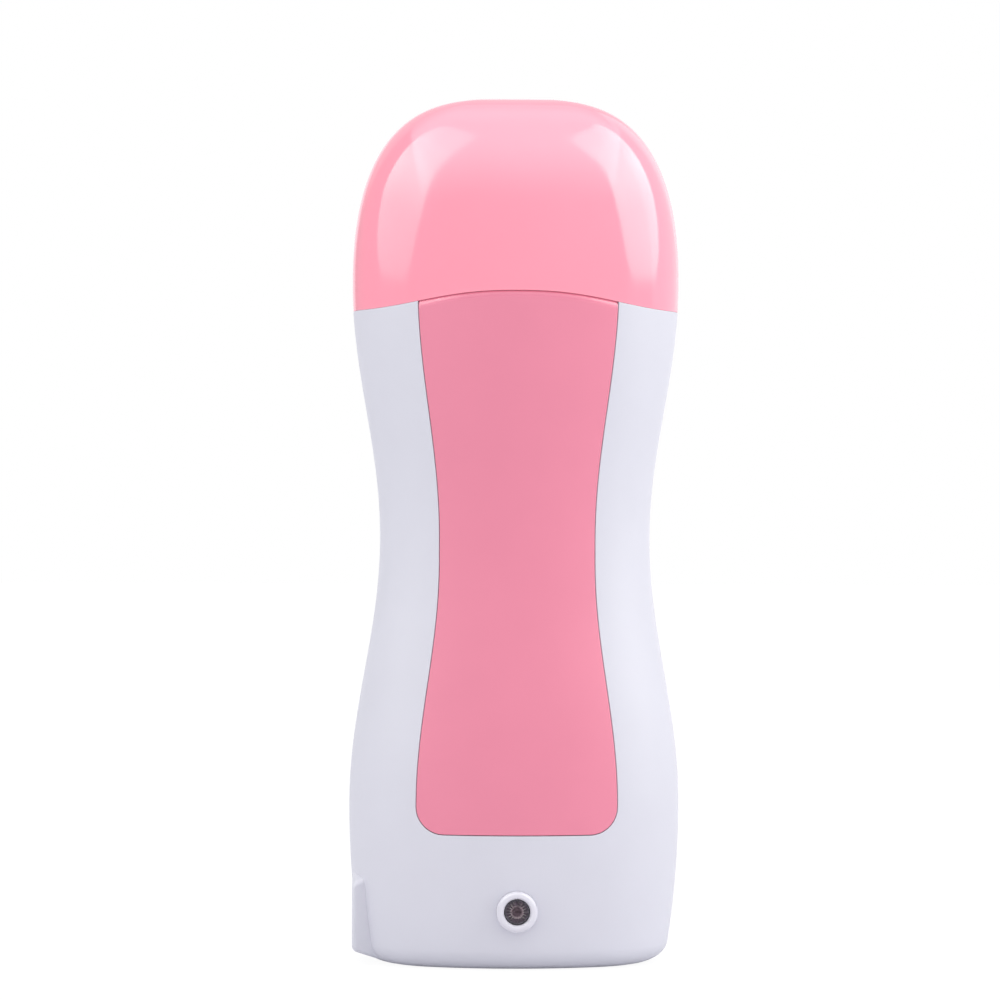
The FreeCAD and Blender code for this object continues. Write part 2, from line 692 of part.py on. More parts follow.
def panel_prism(gap):
    """The panel outline drawn in by the gap and run through the front of the housing."""
    shoulder = float(s.shoulder_height)
    bottom = float(s.panel_bottom_height) + gap
    corner = float(s.panel_corner_radius) - gap
    wide = float(s.panel_low_half_width) - gap
    steps = 10
    levels = heights_between(bottom + corner, shoulder, steps)
    side = [vec(panel_half_width(z) - gap, -FAR, z) for z in levels]
    up = vec(0, 0, 1)
    edges = []
    for mirror in (1, -1):
        curve = Part.BSplineCurve()
        points = [vec(mirror * point.x, point.y, point.z) for point in side]
        curve.interpolate(Points=points, InitialTangent=up, FinalTangent=up)
        bend = corner * math.sin(QUARTER / 2)
        start = vec(mirror * wide, -FAR, bottom + corner)
        middle = vec(mirror * (wide - corner + bend), -FAR, bottom + corner - bend)
        end = vec(mirror * (wide - corner), -FAR, bottom)
        edges.append(curve.toShape())
        edges.append(Part.Arc(start, middle, end).toShape())
    edges.append(Part.LineSegment(vec(corner - wide, -FAR, bottom),
                                  vec(wide - corner, -FAR, bottom)).toShape())
    edges.append(Part.LineSegment(vec(-side[-1].x, -FAR, shoulder),
                                  vec(side[-1].x, -FAR, shoulder)).toShape())
    outline = Part.Wire(Part.__sortEdges__(edges))
    return Part.Face(outline).extrude(vec(0, FAR, 0))


def moved(shape, y):
    copy = shape.copy()
    copy.translate(vec(0, y, 0))
    return copy


def front_layer(region, start, end):
    """The part of a region between two depths behind the front of the form."""
    return region.common(moved(outer_form, float(start))).cut(moved(outer_form, float(end)))


outer_form = form(0, 0)
cap_room = above_seam(0)


# ---------------------------------------------------------------- housing shells

def pillar_places():
    for side in (-1, 1):
        yield side * s.upper_pillar_offset, s.upper_pillar_height
        yield side * s.lower_pillar_offset, s.lower_pillar_height


def inlet_boss():
    """A drafted block on the left side with a sloping ledge on top and a flat outer face."""
    face = -float(s.inlet_face)
    root = -float(s.boss_root)
    half, low, high = (float(s.boss_half_width), float(s.boss_low_height),
                       float(s.boss_high_height))
    more, rise = float(s.boss_draft), float(s.boss_ledge_rise)
    sections = []
    for x, wide, bottom, top in ((face, half, low, high), (root, half + more, low, high + rise)):
        corners = [vec(x, -wide, bottom), vec(x, wide, bottom), vec(x, wide, top),
                   vec(x, -wide, top)]
        sections.append(Part.makePolygon(corners + corners[:1]))
    return Part.makeLoft(sections, True, True)


def tab_blocks(name, extra):
    """Upright blocks where the panel's locating tabs pass the shell."""
    blocks = []
    for side in (-1, 1):
        for level in range(3):
            middle_x = side * s.tab_offset
            middle_z = s.tab_low_height + level * s.tab_pitch
            half_x = s.tab_width / 2 + extra
            half_z = s.tab_length / 2 + extra
            blocks.append(box(f"{name}_{side}_{level}", (middle_x - half_x, middle_x + half_x),
                              (-1 * s.hip_half_depth - PAST, -1 * s.tank_half_depth),
                              (middle_z - half_z, middle_z + half_z)))
    return fuse(name, *blocks)


def make_shells():
    cavity = form(float(s.shell_wall), float(s.foot_wall))
    hollow = outer_form.cut(cavity).cut(cap_room)
    ledges = []
    rib_in = s.shell_wall + s.rib_reach
    rib_out = s.shell_wall / 2
    floor_low = s.bay_floor_height - s.bay_floor_thickness
    deck_low = s.neck_deck_height - s.neck_deck_thickness
    for bottom in (floor_low - s.rib_height, s.bay_floor_height + s.rib_gap,
                   deck_low - s.rib_height):
        ledges.append(ring(rib_out, rib_in, bottom, bottom + s.rib_height))
    boss = inlet_boss().cut(cavity)
    hollow = hollow.fuse(ledges + [boss])
    wall_solid = shaped("wall_solid", hollow)

    pillars = [cylinder(f"pillar_{i}", s.pillar_radius, 2 * s.hip_half_depth,
                        (x, -s.hip_half_depth, z), TURN_TO_Y)
               for i, (x, z) in enumerate(pillar_places())]
    inside_wall = form(float(s.shell_wall) / 2, float(s.foot_wall) / 2)
    pillars = common("pillars_in_form", shaped("pillar_room", inside_wall),
                     fuse("pillars", *pillars))
    groove_low = deck_low + s.bead_height / 2 - s.bead_gap
    groove_inset = s.shell_wall + s.neck_gap - s.bead_reach - s.bead_gap
    groove = ring(groove_inset, s.shell_wall + PAST, groove_low,
                  groove_low + s.bead_height + 2 * s.bead_gap)
    groove = common("bead_groove", shaped("bead_ring", groove), bead_boxes("groove", s.bead_gap))
    slot = inlet_block("inlet_slot", s.inlet_slot_gap, PAST)
    whole = cut("both_shells", fuse("walls_and_pillars", wall_solid, pillars), groove, slot)

    wide = s.inlet_face + s.shell_wall
    tall = s.shoulder_height + s.dome_rise
    deep = s.hip_half_depth + s.shell_wall
    front_half = box("front_half", (-wide, wide), (-deep, Size(0, "0")), (Size(0, "0"), tall))
    rear_half = box("rear_half", (-wide, wide), (Size(0, "0"), deep), (Size(0, "0"), tall))

    front = common("front_blank", whole, front_half)
    rear = common("rear_blank", whole, rear_half)
    make_front_shell(front)
    make_rear_shell(rear)


def make_front_shell(blank):
    """Front shell: panel recess, lamp hole with its flat pad, board posts, pilot holes."""
    surface = -half_depth_at_lamp()
    pad_back = surface + s.bezel_pad_depth
    centre = (Size(0, "0"), surface + s.shell_wall / 2, s.lamp_height)
    lamp_pad = cylinder("lamp_pad", s.bezel_pad_radius, s.bezel_pad_depth - s.shell_wall / 2,
                        centre, TURN_TO_Y)
    additions = [lamp_pad]
    board_front = surface + s.board_depth
    for side in (-1, 1):
        x = side * s.post_offset
        additions.append(cylinder(f"post_{side}", s.post_radius, s.board_depth - s.shell_wall / 2,
                                  (x, surface + s.shell_wall / 2, s.lamp_height), TURN_TO_Y))
        additions.append(cylinder(f"post_pin_{side}", s.post_pin_radius,
                                  s.board_thickness + s.post_pin_length + PAST,
                                  (x, board_front - PAST, s.lamp_height), TURN_TO_Y))
    shell = fuse("front_with_posts", blank, *additions)
    recess = front_layer(panel_prism(0), 0, s.panel_thickness + s.panel_seat_gap)
    ring_hole = cylinder("ring_hole", s.bezel_radius + s.bezel_hole_gap,
                         2 * s.bezel_pad_depth,
                         (Size(0, "0"), surface - s.bezel_pad_depth, s.lamp_height), TURN_TO_Y)
    holes = [shaped("panel_recess", recess), tab_blocks("tab_slots", s.panel_edge_gap), ring_hole]
    pilot = s.screw_length - s.screw_seat_depth + PAST
    for index, (x, z) in enumerate(pillar_places()):
        holes.append(cylinder(f"pilot_{index}", s.screw_shank_radius + s.fastener_clearance / 2,
                              pilot + PAST, (x, -pilot, z), TURN_TO_Y))
    return node(cut("front_shell", shell, *holes), "front_shell")


def make_rear_shell(blank):
    """Rear shell: screw holes with deep counterbores and a bare label recess."""
    holes = []
    for index, (x, z) in enumerate(pillar_places()):
        holes.append(cylinder(f"shank_hole_{index}", s.screw_shank_radius + s.fastener_clearance,
                              s.screw_seat_depth + 2 * PAST, (x, Size(-PAST, "-1"), z), TURN_TO_Y))
        holes.append(cylinder(f"head_hole_{index}", s.screw_head_radius + s.fastener_clearance,
                              s.hip_half_depth, (x, s.screw_seat_depth, z), TURN_TO_Y))
    patch = box("label_patch", (-s.label_half_width, s.label_half_width),
                (Size(0, "0"), s.hip_half_depth + PAST),
                (s.label_low_height, s.label_low_height + s.label_height))
    under = shaped("under_label", moved(outer_form, -float(s.label_depth)))
    holes.append(cut("label_recess", patch, under))
    return node(cut("rear_shell", blank, *holes), "rear_shell")


def half_depth_at_lamp():
    """Half depth of the foot region at the lamp, as a sheet expression."""
    share = (s.hip_height - s.lamp_height) / s.hip_height
    return s.hip_half_depth - (s.hip_half_depth - s.base_half_depth) * share * share


def make_front_panel():
    """The inlaid panel, its locating tabs behind it, its top edge along the cap seam."""
    prism = panel_prism(float(s.panel_edge_gap))
    skin = front_layer(prism, 0, s.panel_thickness).cut(cap_room)
    deep = s.panel_thickness + s.panel_seat_gap + s.tab_reach
    blocks = tab_blocks("tab_blocks", 0 * s.panel_edge_gap)
    doc.recompute()
    tabs = shaped("panel_tabs", front_layer(blocks.Shape, s.panel_thickness / 2, deep))
    return node(fuse("front_panel", shaped("panel_skin", skin), tabs), "front_panel")


# ---------------------------------------------------------------- cap and neck

def make_cap():
    wall = float(s.cap_wall)
    low = float(s.seam_side_height) - PAST
    levels = heights_between(low, float(s.shoulder_height), 2)
    sections = [oval(level, wall) for level in levels] + dome_sections(wall)
    room = Part.makeLoft(sections, True, False)
    cap = outer_form.common(above_seam(float(s.seam_gap))).cut(room)
    return node(shaped("cap", cap), "cap")


def bead_boxes(name, extra):
    """The two side regions where the neck is held in the shells."""
    out = s.shoulder_half_width + PAST
    depth = s.shoulder_half_depth
    start = s.bead_offset - extra
    tall = (s.bay_floor_height, s.neck_top_height)
    left = box(f"{name}_left", (-out, -start), (-depth, depth), tall)
    right = box(f"{name}_right", (start, out), (-depth, depth), tall)
    return fuse(f"{name}_sides", left, right)


def make_neck():
    """Neck collar: a deck with the cartridge opening and the upstanding neck for the cap."""
    inset = s.shell_wall + s.neck_gap
    low = s.neck_deck_height - s.neck_deck_thickness
    outside = band(inset, low, s.neck_top_height)
    inside = band(inset + s.neck_wall, s.neck_deck_height, s.neck_top_height + PAST)
    beads_low = low + s.bead_height / 2
    beads = ring(inset - s.bead_reach, inset + s.neck_wall / 2, beads_low,
                 beads_low + s.bead_height)
    beads = common("neck_beads", shaped("neck_bead_ring", beads), bead_boxes("bead", 0 * inset))
    opening = new_body("deck_opening")
    sketch = new_sketch(opening, "deck_opening_sketch", "XY_Plane", low - PAST)
    rounded_rectangle(sketch, s.tank_half_width + s.opening_gap, s.tank_half_depth + s.opening_gap,
                      s.tank_corner_radius + s.opening_gap)
    pad(opening, "deck_opening_pad", sketch, s.neck_deck_thickness + 2 * PAST)
    collar = shaped("neck_blank", outside.cut(inside))
    return node(cut("neck_collar", fuse("neck_with_beads", collar, beads), opening), "neck_collar")


# ---------------------------------------------------------------- power inlet

def inlet_block(name, gap, past):
    """The inlet moulding's outline, run in from the boss face; x points inward."""
    block = new_body(name)
    sketch = new_sketch(block, name + "_sketch", "XY_Plane")
    rounded_rectangle(sketch, s.inlet_half_height + gap, s.inlet_half_width + gap,
                      s.inlet_corner_radius + gap)
    pad(block, name + "_pad", sketch, s.socket_depth + s.inlet_back - s.inlet_step + past)
    place(block, past - s.inlet_face - 2 * past + s.inlet_step, Size(0, "0"), s.inlet_height,
          TURN_TO_X)
    return block


def make_inlet():
    """Figure-eight inlet: a block with a deep socket and two contact holes in its back wall."""
    block = inlet_block("power_inlet", 0 * s.inlet_slot_gap, 0)
    sketch = new_sketch(block, "socket_sketch", "XY_Plane")
    rounded_rectangle(sketch, s.socket_half_height, s.socket_half_width, s.socket_corner_radius)
    pocket(block, "socket", sketch, s.socket_depth - s.inlet_step, reverse=True)
    holes = new_sketch(block, "contact_hole_sketch", "XY_Plane")
    for side in (-1, 1):
        circle(holes, s.contact_root_radius + s.contact_gap, 0, side * s.contact_offset)
    pocket(block, "contact_holes", holes, s.inlet_face, reverse=True)
    return node(block, "power_inlet")


def make_contacts():
    """Two contact pins with rounded tips, thicker roots in the back wall and straight tails."""
    pin = new_body("contact_pin")
    zero = Size(0, "0")
    wall_end = s.contact_reach + s.inlet_back
    end = wall_end + s.contact_tail
    whole = ring_turned(pin, "contact_profile", [
        (zero, zero), (s.contact_radius, zero), (s.contact_radius, s.contact_reach),
        (s.contact_root_radius, s.contact_reach), (s.contact_root_radius, wall_end),
        (s.contact_radius, wall_end), (s.contact_radius, end), (zero, end)])
    round_edges(pin, "contact_tip", whole, s.contact_radius / 2, lambda edge: is_flat_at(edge, 0))
    start = s.socket_depth - s.inlet_face - s.contact_reach
    place(pin, start, Size(0, "0"), s.inlet_height, TURN_TO_X)
    spots = [(0, side * s.contact_offset, 0) for side in (-1, 1)]
    return node(copies("contact_pins", pin, spots), "contact_pins")


# ---------------------------------------------------------------- fasteners

def make_screw(name, head_radius, head_height, shank_radius, length):
    """A round-headed screw along +Z with its head at the top and a cross recess."""
    screw = new_body(name)
    sketch = new_sketch(screw, name + "_profile", "XZ_Plane")
    zero = Size(0, "0")
    polygon(sketch, [(zero, -length), (shank_radius / 2, -length),
                     (shank_radius, shank_radius - length), (shank_radius, zero),
                     (head_radius, zero), (head_radius, head_height / 2),
                     (head_radius * HEAD_TOP_SHARE, head_height), (zero, head_height)])
    revolve(screw, name + "_turned", sketch, "V_Axis")
    recess = new_sketch(screw, name + "_cross", "XY_Plane", head_height)
    half, arm = s.cross_width / 2, head_radius * CROSS_ARM_SHARE
    polygon(recess, [(half, half), (arm, half), (arm, -half), (half, -half), (half, -arm),
                     (-half, -arm), (-half, -half), (-arm, -half), (-arm, half), (-half, half),
                     (-half, arm), (half, arm)])
    pocket(screw, name + "_recess", recess, s.cross_depth)
    return screw


def make_shell_screws():
    screw = make_screw("shell_screw", s.screw_head_radius, s.screw_head_height,
                       s.screw_shank_radius, s.screw_length)
    screw.Placement = FreeCAD.Placement(vec(0, 0, 0), TURN_TO_Y)
    spots = [(x, s.screw_seat_depth, z) for x, z in pillar_places()]
    return node(copies("shell_screws", screw, spots), "shell_screws")


def make_tray_screws():
    screw = make_screw("tray_screw", s.screw_head_radius, s.screw_head_height,
                       s.screw_shank_radius, s.lug_screw_length)
    top = s.bay_floor_height + s.tray_wall
    spots = [(side * lug_screw_offset(), 0, top) for side in (-1, 1)]
    return node(copies("tray_screws", screw, spots), "tray_screws")


def lug_screw_offset():
    return s.tank_half_width + s.tray_gap + s.tray_wall + s.lug_screw_inset


# ---------------------------------------------------------------- cartridge bay

def make_bay_floor():
    """Floor under the cartridge: an oval plate with screw pillars and two lead holes."""
    low = s.bay_floor_height - s.bay_floor_thickness
    plate = shaped("floor_plate", band(s.shell_wall + s.bay_floor_gap, low, s.bay_floor_height))
    pillars = []
    holes = []
    for side in (-1, 1):
        x = side * lug_screw_offset()
        pillars.append(cylinder(f"lug_pillar_{side}", s.lug_pillar_radius,
                                s.lug_pillar_height + PAST, (x, 0, low - s.lug_pillar_height)))
        holes.append(cylinder(f"lug_pilot_{side}", s.screw_shank_radius + s.fastener_clearance / 2,
                              s.lug_screw_length + 2 * PAST,
                              (x, 0, s.bay_floor_height - s.lug_screw_length)))
    hole_radius = s.lead_radius + s.lead_hole_gap
    for name, x, y in (("live", -s.live_offset, s.live_depth),
                       ("neutral", s.ptc_tab_offset, tray_back() + s.ptc_thickness / 2)):
        holes.append(cylinder(f"{name}_hole", hole_radius, s.bay_floor_thickness + 2 * PAST,
                              (x, y, low - PAST)))
    return node(cut("bay_floor", fuse("floor_with_pillars", plate, *pillars), *holes), "bay_floor")


def make_heat_tray():
    """Aluminium tray: a U that wraps the back and sides of the cartridge, with screw lugs."""
    tray = new_body("heat_tray")
    inner_x = s.tank_half_width + s.tray_gap
    inner_y = s.tank_half_depth + s.tray_gap
    outline = new_sketch(tray, "tray_outer", "XY_Plane", s.bay_floor_height)
    rounded_rectangle(outline, inner_x + s.tray_wall, inner_y + s.tray_wall,
                      s.tank_corner_radius + s.tray_gap + s.tray_wall)
    pad(tray, "tray_pad", outline, s.tray_height)
    inside = new_sketch(tray, "tray_inner", "XY_Plane", s.bay_floor_height)
    rounded_rectangle(inside, inner_x, inner_y, s.tank_corner_radius + s.tray_gap)
    pocket(tray, "tray_hollow", inside, s.tray_height, reverse=True)
    opening = new_sketch(tray, "tray_opening", "XY_Plane", s.bay_floor_height)
    wide = inner_x + s.tray_wall + PAST
    front = -s.tray_front
    past_front = -inner_y - s.tray_wall - PAST
    polygon(opening, [(-wide, past_front), (wide, past_front), (wide, front), (-wide, front)])
    pocket(tray, "tray_mouth", opening, s.tray_height, reverse=True)
    for side, name in ((-1, "left"), (1, "right")):
        lug = new_sketch(tray, name + "_lug_sketch", "XY_Plane", s.bay_floor_height)
        start = side * (inner_x + s.tray_wall / 2)
        end = side * (inner_x + s.tray_wall + s.tray_lug_reach)
        half = s.tray_lug_half_width
        polygon(lug, [(start, -half), (end, -half), (end, half), (start, half)])
        circle(lug, s.screw_shank_radius + s.fastener_clearance, side * lug_screw_offset(), 0)
        pad(tray, name + "_lug", lug, s.tray_wall)
    return node(tray, "heat_tray")


def tray_back():
    return s.tank_half_depth + s.tray_gap + s.tray_wall


def make_ptc_heater():
    """Flat heating element with one solder tab above and one below."""
    low = s.ptc_bottom_height
    high = low + s.ptc_height
    back = tray_back()
    plate = box("ptc_plate", (-s.ptc_half_width, s.ptc_half_width),
                (back, back + s.ptc_thickness), (low, high))
    middle = back + s.ptc_thickness / 2
    depth = (middle - s.ptc_tab_thickness / 2, middle + s.ptc_tab_thickness / 2)
    x = s.ptc_tab_offset
    wide = (x - s.ptc_tab_half_width, x + s.ptc_tab_half_width)
    below = box("ptc_low_tab", wide, depth, (low - s.ptc_tab_length, low + PAST))
    above = box("ptc_high_tab", wide, depth, (high - PAST, high + s.ptc_tab_length))
    return node(fuse("ptc_heater", plate, below, above), "ptc_heater")


def make_insulation_sheet():
    back = tray_back() + s.ptc_thickness
    inset = s.sheet_margin
    sheet = box("insulation_sheet", (inset - s.ptc_half_width, s.ptc_half_width - inset),
                (back, back + s.sheet_thickness),
                (s.ptc_bottom_height + inset, s.ptc_bottom_height + s.ptc_height - inset))
    return node(sheet, "insulation_sheet")


def make_ptc_clip():
    """Spring clip: a bent strip over the element with two feet on the tray."""
    clip = new_body("ptc_clip")
    middle = s.ptc_bottom_height + s.ptc_height / 2
    strip = new_sketch(clip, "clip_profile", "XY_Plane", middle)
    back = tray_back()
    top = back + s.ptc_thickness + s.sheet_thickness
    t = s.clip_thickness
    leg = s.ptc_half_width + s.clip_gap
    edge = s.clip_half_width
    polygon(strip, [(-edge, back), (-leg, back), (-leg, top), (leg, top), (leg, back),
                    (edge, back), (edge, back + t), (leg + t, back + t), (leg + t, top + t),
                    (-leg - t, top + t), (-leg - t, back + t), (-edge, back + t)])
    pad(clip, "clip_strip", strip, s.clip_height, both_ways=True)
    return node(clip, "ptc_clip")


def make_clip_rivets():
    """Two domed rivets that hold the clip's feet."""
    rivet = new_body("clip_rivet")
    profile = new_sketch(rivet, "rivet_profile", "XZ_Plane")
    zero = Size(0, "0")
    shoulder = s.rivet_radius * RIVET_SHOULDER_SHARE
    polygon(profile, [(zero, zero), (s.rivet_radius, zero), (shoulder, s.rivet_height / 2),
                      (s.rivet_radius / 2, s.rivet_height), (zero, s.rivet_height)])
    revolve(rivet, "rivet_head", profile, "V_Axis")
    rivet.Placement = FreeCAD.Placement(vec(0, 0, 0), TURN_TO_Y)
    x = (s.ptc_half_width + s.clip_gap + s.clip_thickness + s.clip_half_width) / 2
    z = s.ptc_bottom_height + s.ptc_height / 2
    spots = [(side * x, tray_back() + s.clip_thickness, z) for side in (-1, 1)]
    return node(copies("clip_rivets", rivet, spots), "clip_rivets")


def make_thermostat():
    """Bimetal thermostat block with a terminal at each end."""
    low = s.thermostat_bottom_height
    high = low + s.thermostat_height
    back = tray_back()
    x = -s.thermostat_offset
    half = s.thermostat_width / 2
    block = box("thermostat_block", (x - half, x + half), (back, back + s.thermostat_thickness),
                (low, high))
    middle = back + s.thermostat_thickness / 2
    tab = s.ptc_tab_thickness / 2
    wide = (x - s.ptc_tab_half_width, x + s.ptc_tab_half_width)
    below = box("thermostat_low_tab", wide, (middle - tab, middle + tab),
                (low - s.ptc_tab_length, low + PAST))
    above = box("thermostat_high_tab", wide, (middle - tab, middle + tab),
                (high - PAST, high + s.ptc_tab_length))
    return node(fuse("thermostat", block, below, above), "thermostat")


def make_thermal_fuse():
    """Thermal fuse: a small cylinder with an axial wire at each end."""
    x = s.ptc_tab_offset
    y = tray_back() + s.fuse_radius
    low = s.fuse_bottom_height
    case = cylinder("fuse_case", s.fuse_radius, s.fuse_length, (x, y, low))
    reach = low - s.ptc_bottom_height - s.ptc_height - s.ptc_tab_length
    wire = cylinder("fuse_wire", s.fuse_wire_radius, reach + s.fuse_length + s.ptc_tab_length,
                    (x, y, low - reach))
    return node(fuse("thermal_fuse", case, wire), "thermal_fuse")


# ---------------------------------------------------------------- indicator lamp

def ring_turned(body, name, points):
    """Turn a profile of (radius, distance) points about the body's Z axis."""
    sketch = new_sketch(body, name, "XZ_Plane")
    polygon(sketch, points)
    return revolve(body, name + "_turned", sketch, "V_Axis")


def lamp_front():
    return -half_depth_at_lamp() - s.bezel_rise


def lens_front():
    return lamp_front() + s.lens_step


def make_lamp_bezel():
    """Bezel: a rounded ring through the shell with a flange against the pad behind it."""
    bezel = new_body("lamp_bezel")
    sleeve = s.bezel_rise + s.bezel_pad_depth
    end = sleeve + s.bezel_flange_thickness
    bore = s.lens_radius + s.lens_gap
    wide_bore = s.lens_flange_radius + s.lens_gap
    step = s.lens_step + s.lens_front_length
    zero = Size(0, "0")
    turned = ring_turned(bezel, "bezel_profile", [
        (bore, zero), (s.bezel_radius, zero), (s.bezel_radius, sleeve),
        (s.bezel_flange_radius, sleeve), (s.bezel_flange_radius, end), (wide_bore, end),
        (wide_bore, step), (bore, step)])
    round_edges(bezel, "bezel_lip", turned, s.bezel_lip_fillet,
                lambda edge: is_flat_at(edge, 0) and edge.BoundBox.XMax > float(s.bezel_radius) - 0.1)
    place(bezel, zero, lamp_front(), s.lamp_height, TURN_TO_Y)
    return node(bezel, "lamp_bezel")


def make_lamp_lens():
    """Smoky lens: a stepped cup that sits in the bezel from behind."""
    lens = new_body("lamp_lens")
    zero = Size(0, "0")
    front = s.lens_front_length - s.lens_gap
    length = s.bezel_rise + s.bezel_pad_depth - s.lens_step
    wide = s.lens_flange_radius
    ring_turned(lens, "lens_profile", [
        (zero, zero), (s.lens_radius, zero), (s.lens_radius, front + 2 * s.lens_gap),
        (wide, front + 2 * s.lens_gap), (wide, length),
        (s.lens_bore_radius, length), (s.lens_bore_radius, s.lens_wall), (zero, s.lens_wall)])
    place(lens, zero, lens_front(), s.lamp_height, TURN_TO_Y)
    return node(lens, "lamp_lens")


def board_front():
    return -half_depth_at_lamp() + s.board_depth


def make_neon():
    """Neon indicator: a glass bulb standing on the lamp board behind the lens."""
    neon = new_body("neon_lamp")
    sketch = new_sketch(neon, "neon_sketch", "XY_Plane")
    circle(sketch, s.neon_radius)
    start = lens_front() + s.lens_wall + s.neon_gap
    bulb = pad(neon, "neon_bulb", sketch, board_front() - start)
    tip = s.neon_radius * BULB_TIP_SHARE
    round_edges(neon, "neon_tip", bulb, tip, lambda edge: is_flat_at(edge, 0))
    place(neon, Size(0, "0"), start, s.lamp_height, TURN_TO_Y)
    return node(neon, "neon_lamp")


def make_lamp_board():
    board = new_body("lamp_board")
    sketch = new_sketch(board, "board_sketch", "XY_Plane")
    half_x, half_z = s.board_half_width, s.board_half_height
    polygon(sketch, [(-half_x, -half_z), (half_x, -half_z), (half_x, half_z), (-half_x, half_z)])
    for side in (-1, 1):
        circle(sketch, s.post_pin_radius + s.fastener_clearance, side * s.post_offset, 0)
    pad(board, "board_plate", sketch, s.board_thickness)
    place(board, Size(0, "0"), board_front(), s.lamp_height, TURN_TO_Y)
    return node(board, "lamp_board")


def make_resistor():
    """Series resistor lying along the back of the lamp board on its bent wires."""
    back = board_front() + s.board_thickness
    y = back + s.resistor_radius + s.wire_radius
    z = s.lamp_height + s.resistor_rise
    reach = s.resistor_half_length + s.wire_reach
    case = cylinder("resistor_case", s.resistor_radius, 2 * s.resistor_half_length,
                    (-s.resistor_half_length, y, z), TURN_TO_X)
    wire = tube([(-reach, back, z), (-reach, y, z), (reach, y, z), (reach, back, z)],
                s.wire_radius)
    return node(fuse("lamp_resistor", case, shaped("resistor_wire", wire)), "lamp_resistor")


# ---------------------------------------------------------------- leads

def tail_end():
    """Where the contact pins end inside the housing."""
    return s.socket_depth - s.inlet_face + s.inlet_back + s.contact_tail


def make_leads():
    """Live lead to the thermostat, neutral lead to the element, and the lead to the fuse."""
    tab_middle = tray_back() + s.ptc_thickness / 2
    tail = tail_end()
    y = s.contact_offset
    z = s.inlet_height
    riser_x = -s.live_offset
    riser_foot = z + s.live_riser_rise
    live_end = s.thermostat_bottom_height - s.ptc_tab_length / 2
    clip_top = s.ptc_bottom_height + (s.ptc_height + s.clip_height) / 2
    tab_side = -s.thermostat_offset - s.ptc_tab_half_width
    live = [(tail, y, z), (tail + s.live_first_run, y, z),
            (riser_x + s.live_turn_inset, s.live_depth, z + s.live_turn_rise),
            (riser_x, s.live_depth, riser_foot),
            (riser_x, s.live_depth, clip_top + s.live_clip_gap),
            (tab_side - s.live_last_run, tab_middle, live_end), (tab_side, tab_middle, live_end)]
    x = s.ptc_tab_offset
    turn = s.neutral_turn_inset
    neutral = [(tail, -y, z), (tail + s.neutral_first_run, -y, z),
               (x - turn, tab_middle - turn, z + s.neutral_turn_rise),
               (x, tab_middle, z + s.neutral_riser_rise),
               (x, tab_middle, s.ptc_bottom_height - s.ptc_tab_length)]
    low = s.thermostat_bottom_height + s.thermostat_height + s.ptc_tab_length
    top = low + s.fuse_lead_rise
    fuse_y = tray_back() + s.fuse_radius
    fuse_top = s.fuse_bottom_height + s.fuse_length + s.ptc_tab_length
    link = [(-s.thermostat_offset, tab_middle, low), (-s.thermostat_offset, tab_middle, top),
            (x, fuse_y, top), (x, fuse_y, fuse_top)]
    node(shaped("live_lead", tube(live, s.lead_radius)), "live_lead")
    node(shaped("neutral_lead", tube(neutral, s.lead_radius)), "neutral_lead")
    node(shaped("fuse_lead", tube(link, s.lamp_lead_radius)), "fuse_lead")


def make_lamp_leads():
    """Two thin leads from the contact tails to the lamp board."""
    tail = tail_end() - s.lamp_lead_inset
    top = s.inlet_height + s.contact_radius
    board = board_front() + s.board_thickness
    joint_x = -s.resistor_half_length - s.lamp_lead_end
    leads = []
    for side in (-1, 1):
        y = side * s.contact_offset
        joint_z = s.lamp_height - side * s.lamp_joint_offset
        high = top + s.lamp_lead_rise - side * s.lamp_lead_spread
        leads.append(tube([(tail, y, top), (tail, y, high),
                           (tail + s.lamp_lead_run, board + s.lamp_lead_drop, high),
                           (joint_x, board + s.lamp_lead_end, joint_z),
                           (joint_x, board, joint_z)], s.lamp_lead_radius))
    return node(shaped("lamp_leads", Part.makeCompound(leads)), "lamp_leads")


# ---------------------------------------------------------------- wax cartridge

def make_tank():
    """Cartridge tank: a thin-walled rounded box, open at the top."""
    tank = new_body("cartridge_tank")
    outside = new_sketch(tank, "tank_outside", "XY_Plane")
    rounded_rectangle(outside, s.tank_half_width, s.tank_half_depth, s.tank_corner_radius)
    block = pad(tank, "tank_block", outside, s.tank_height)
    round_edges(tank, "tank_foot", block, s.tank_foot_fillet, lambda edge: is_flat_at(edge, 0))
    inside = new_sketch(tank, "tank_inside", "XY_Plane", s.tank_wall)
    rounded_rectangle(inside, s.tank_half_width - s.tank_wall, s.tank_half_depth - s.tank_wall,
                      s.tank_corner_radius - s.tank_wall)
    pocket(tank, "tank_hollow", inside, s.tank_height, reverse=True)
    place(tank, Size(0, "0"), Size(0, "0"), s.tank_low_height)
    return node(tank, "cartridge_tank")


def make_wax():
    wax = new_body("wax_fill")
    sketch = new_sketch(wax, "wax_sketch", "XY_Plane")
    inset = s.tank_wall + s.wax_gap
    rounded_rectangle(sketch, s.tank_half_width - inset, s.tank_half_depth - inset,
                      s.tank_corner_radius - inset)
    pad(wax, "wax_block", sketch, s.tank_height - inset - s.wax_headroom)
    place(wax, Size(0, "0"), Size(0, "0"), s.tank_low_height + inset)
    return node(wax, "wax_fill")


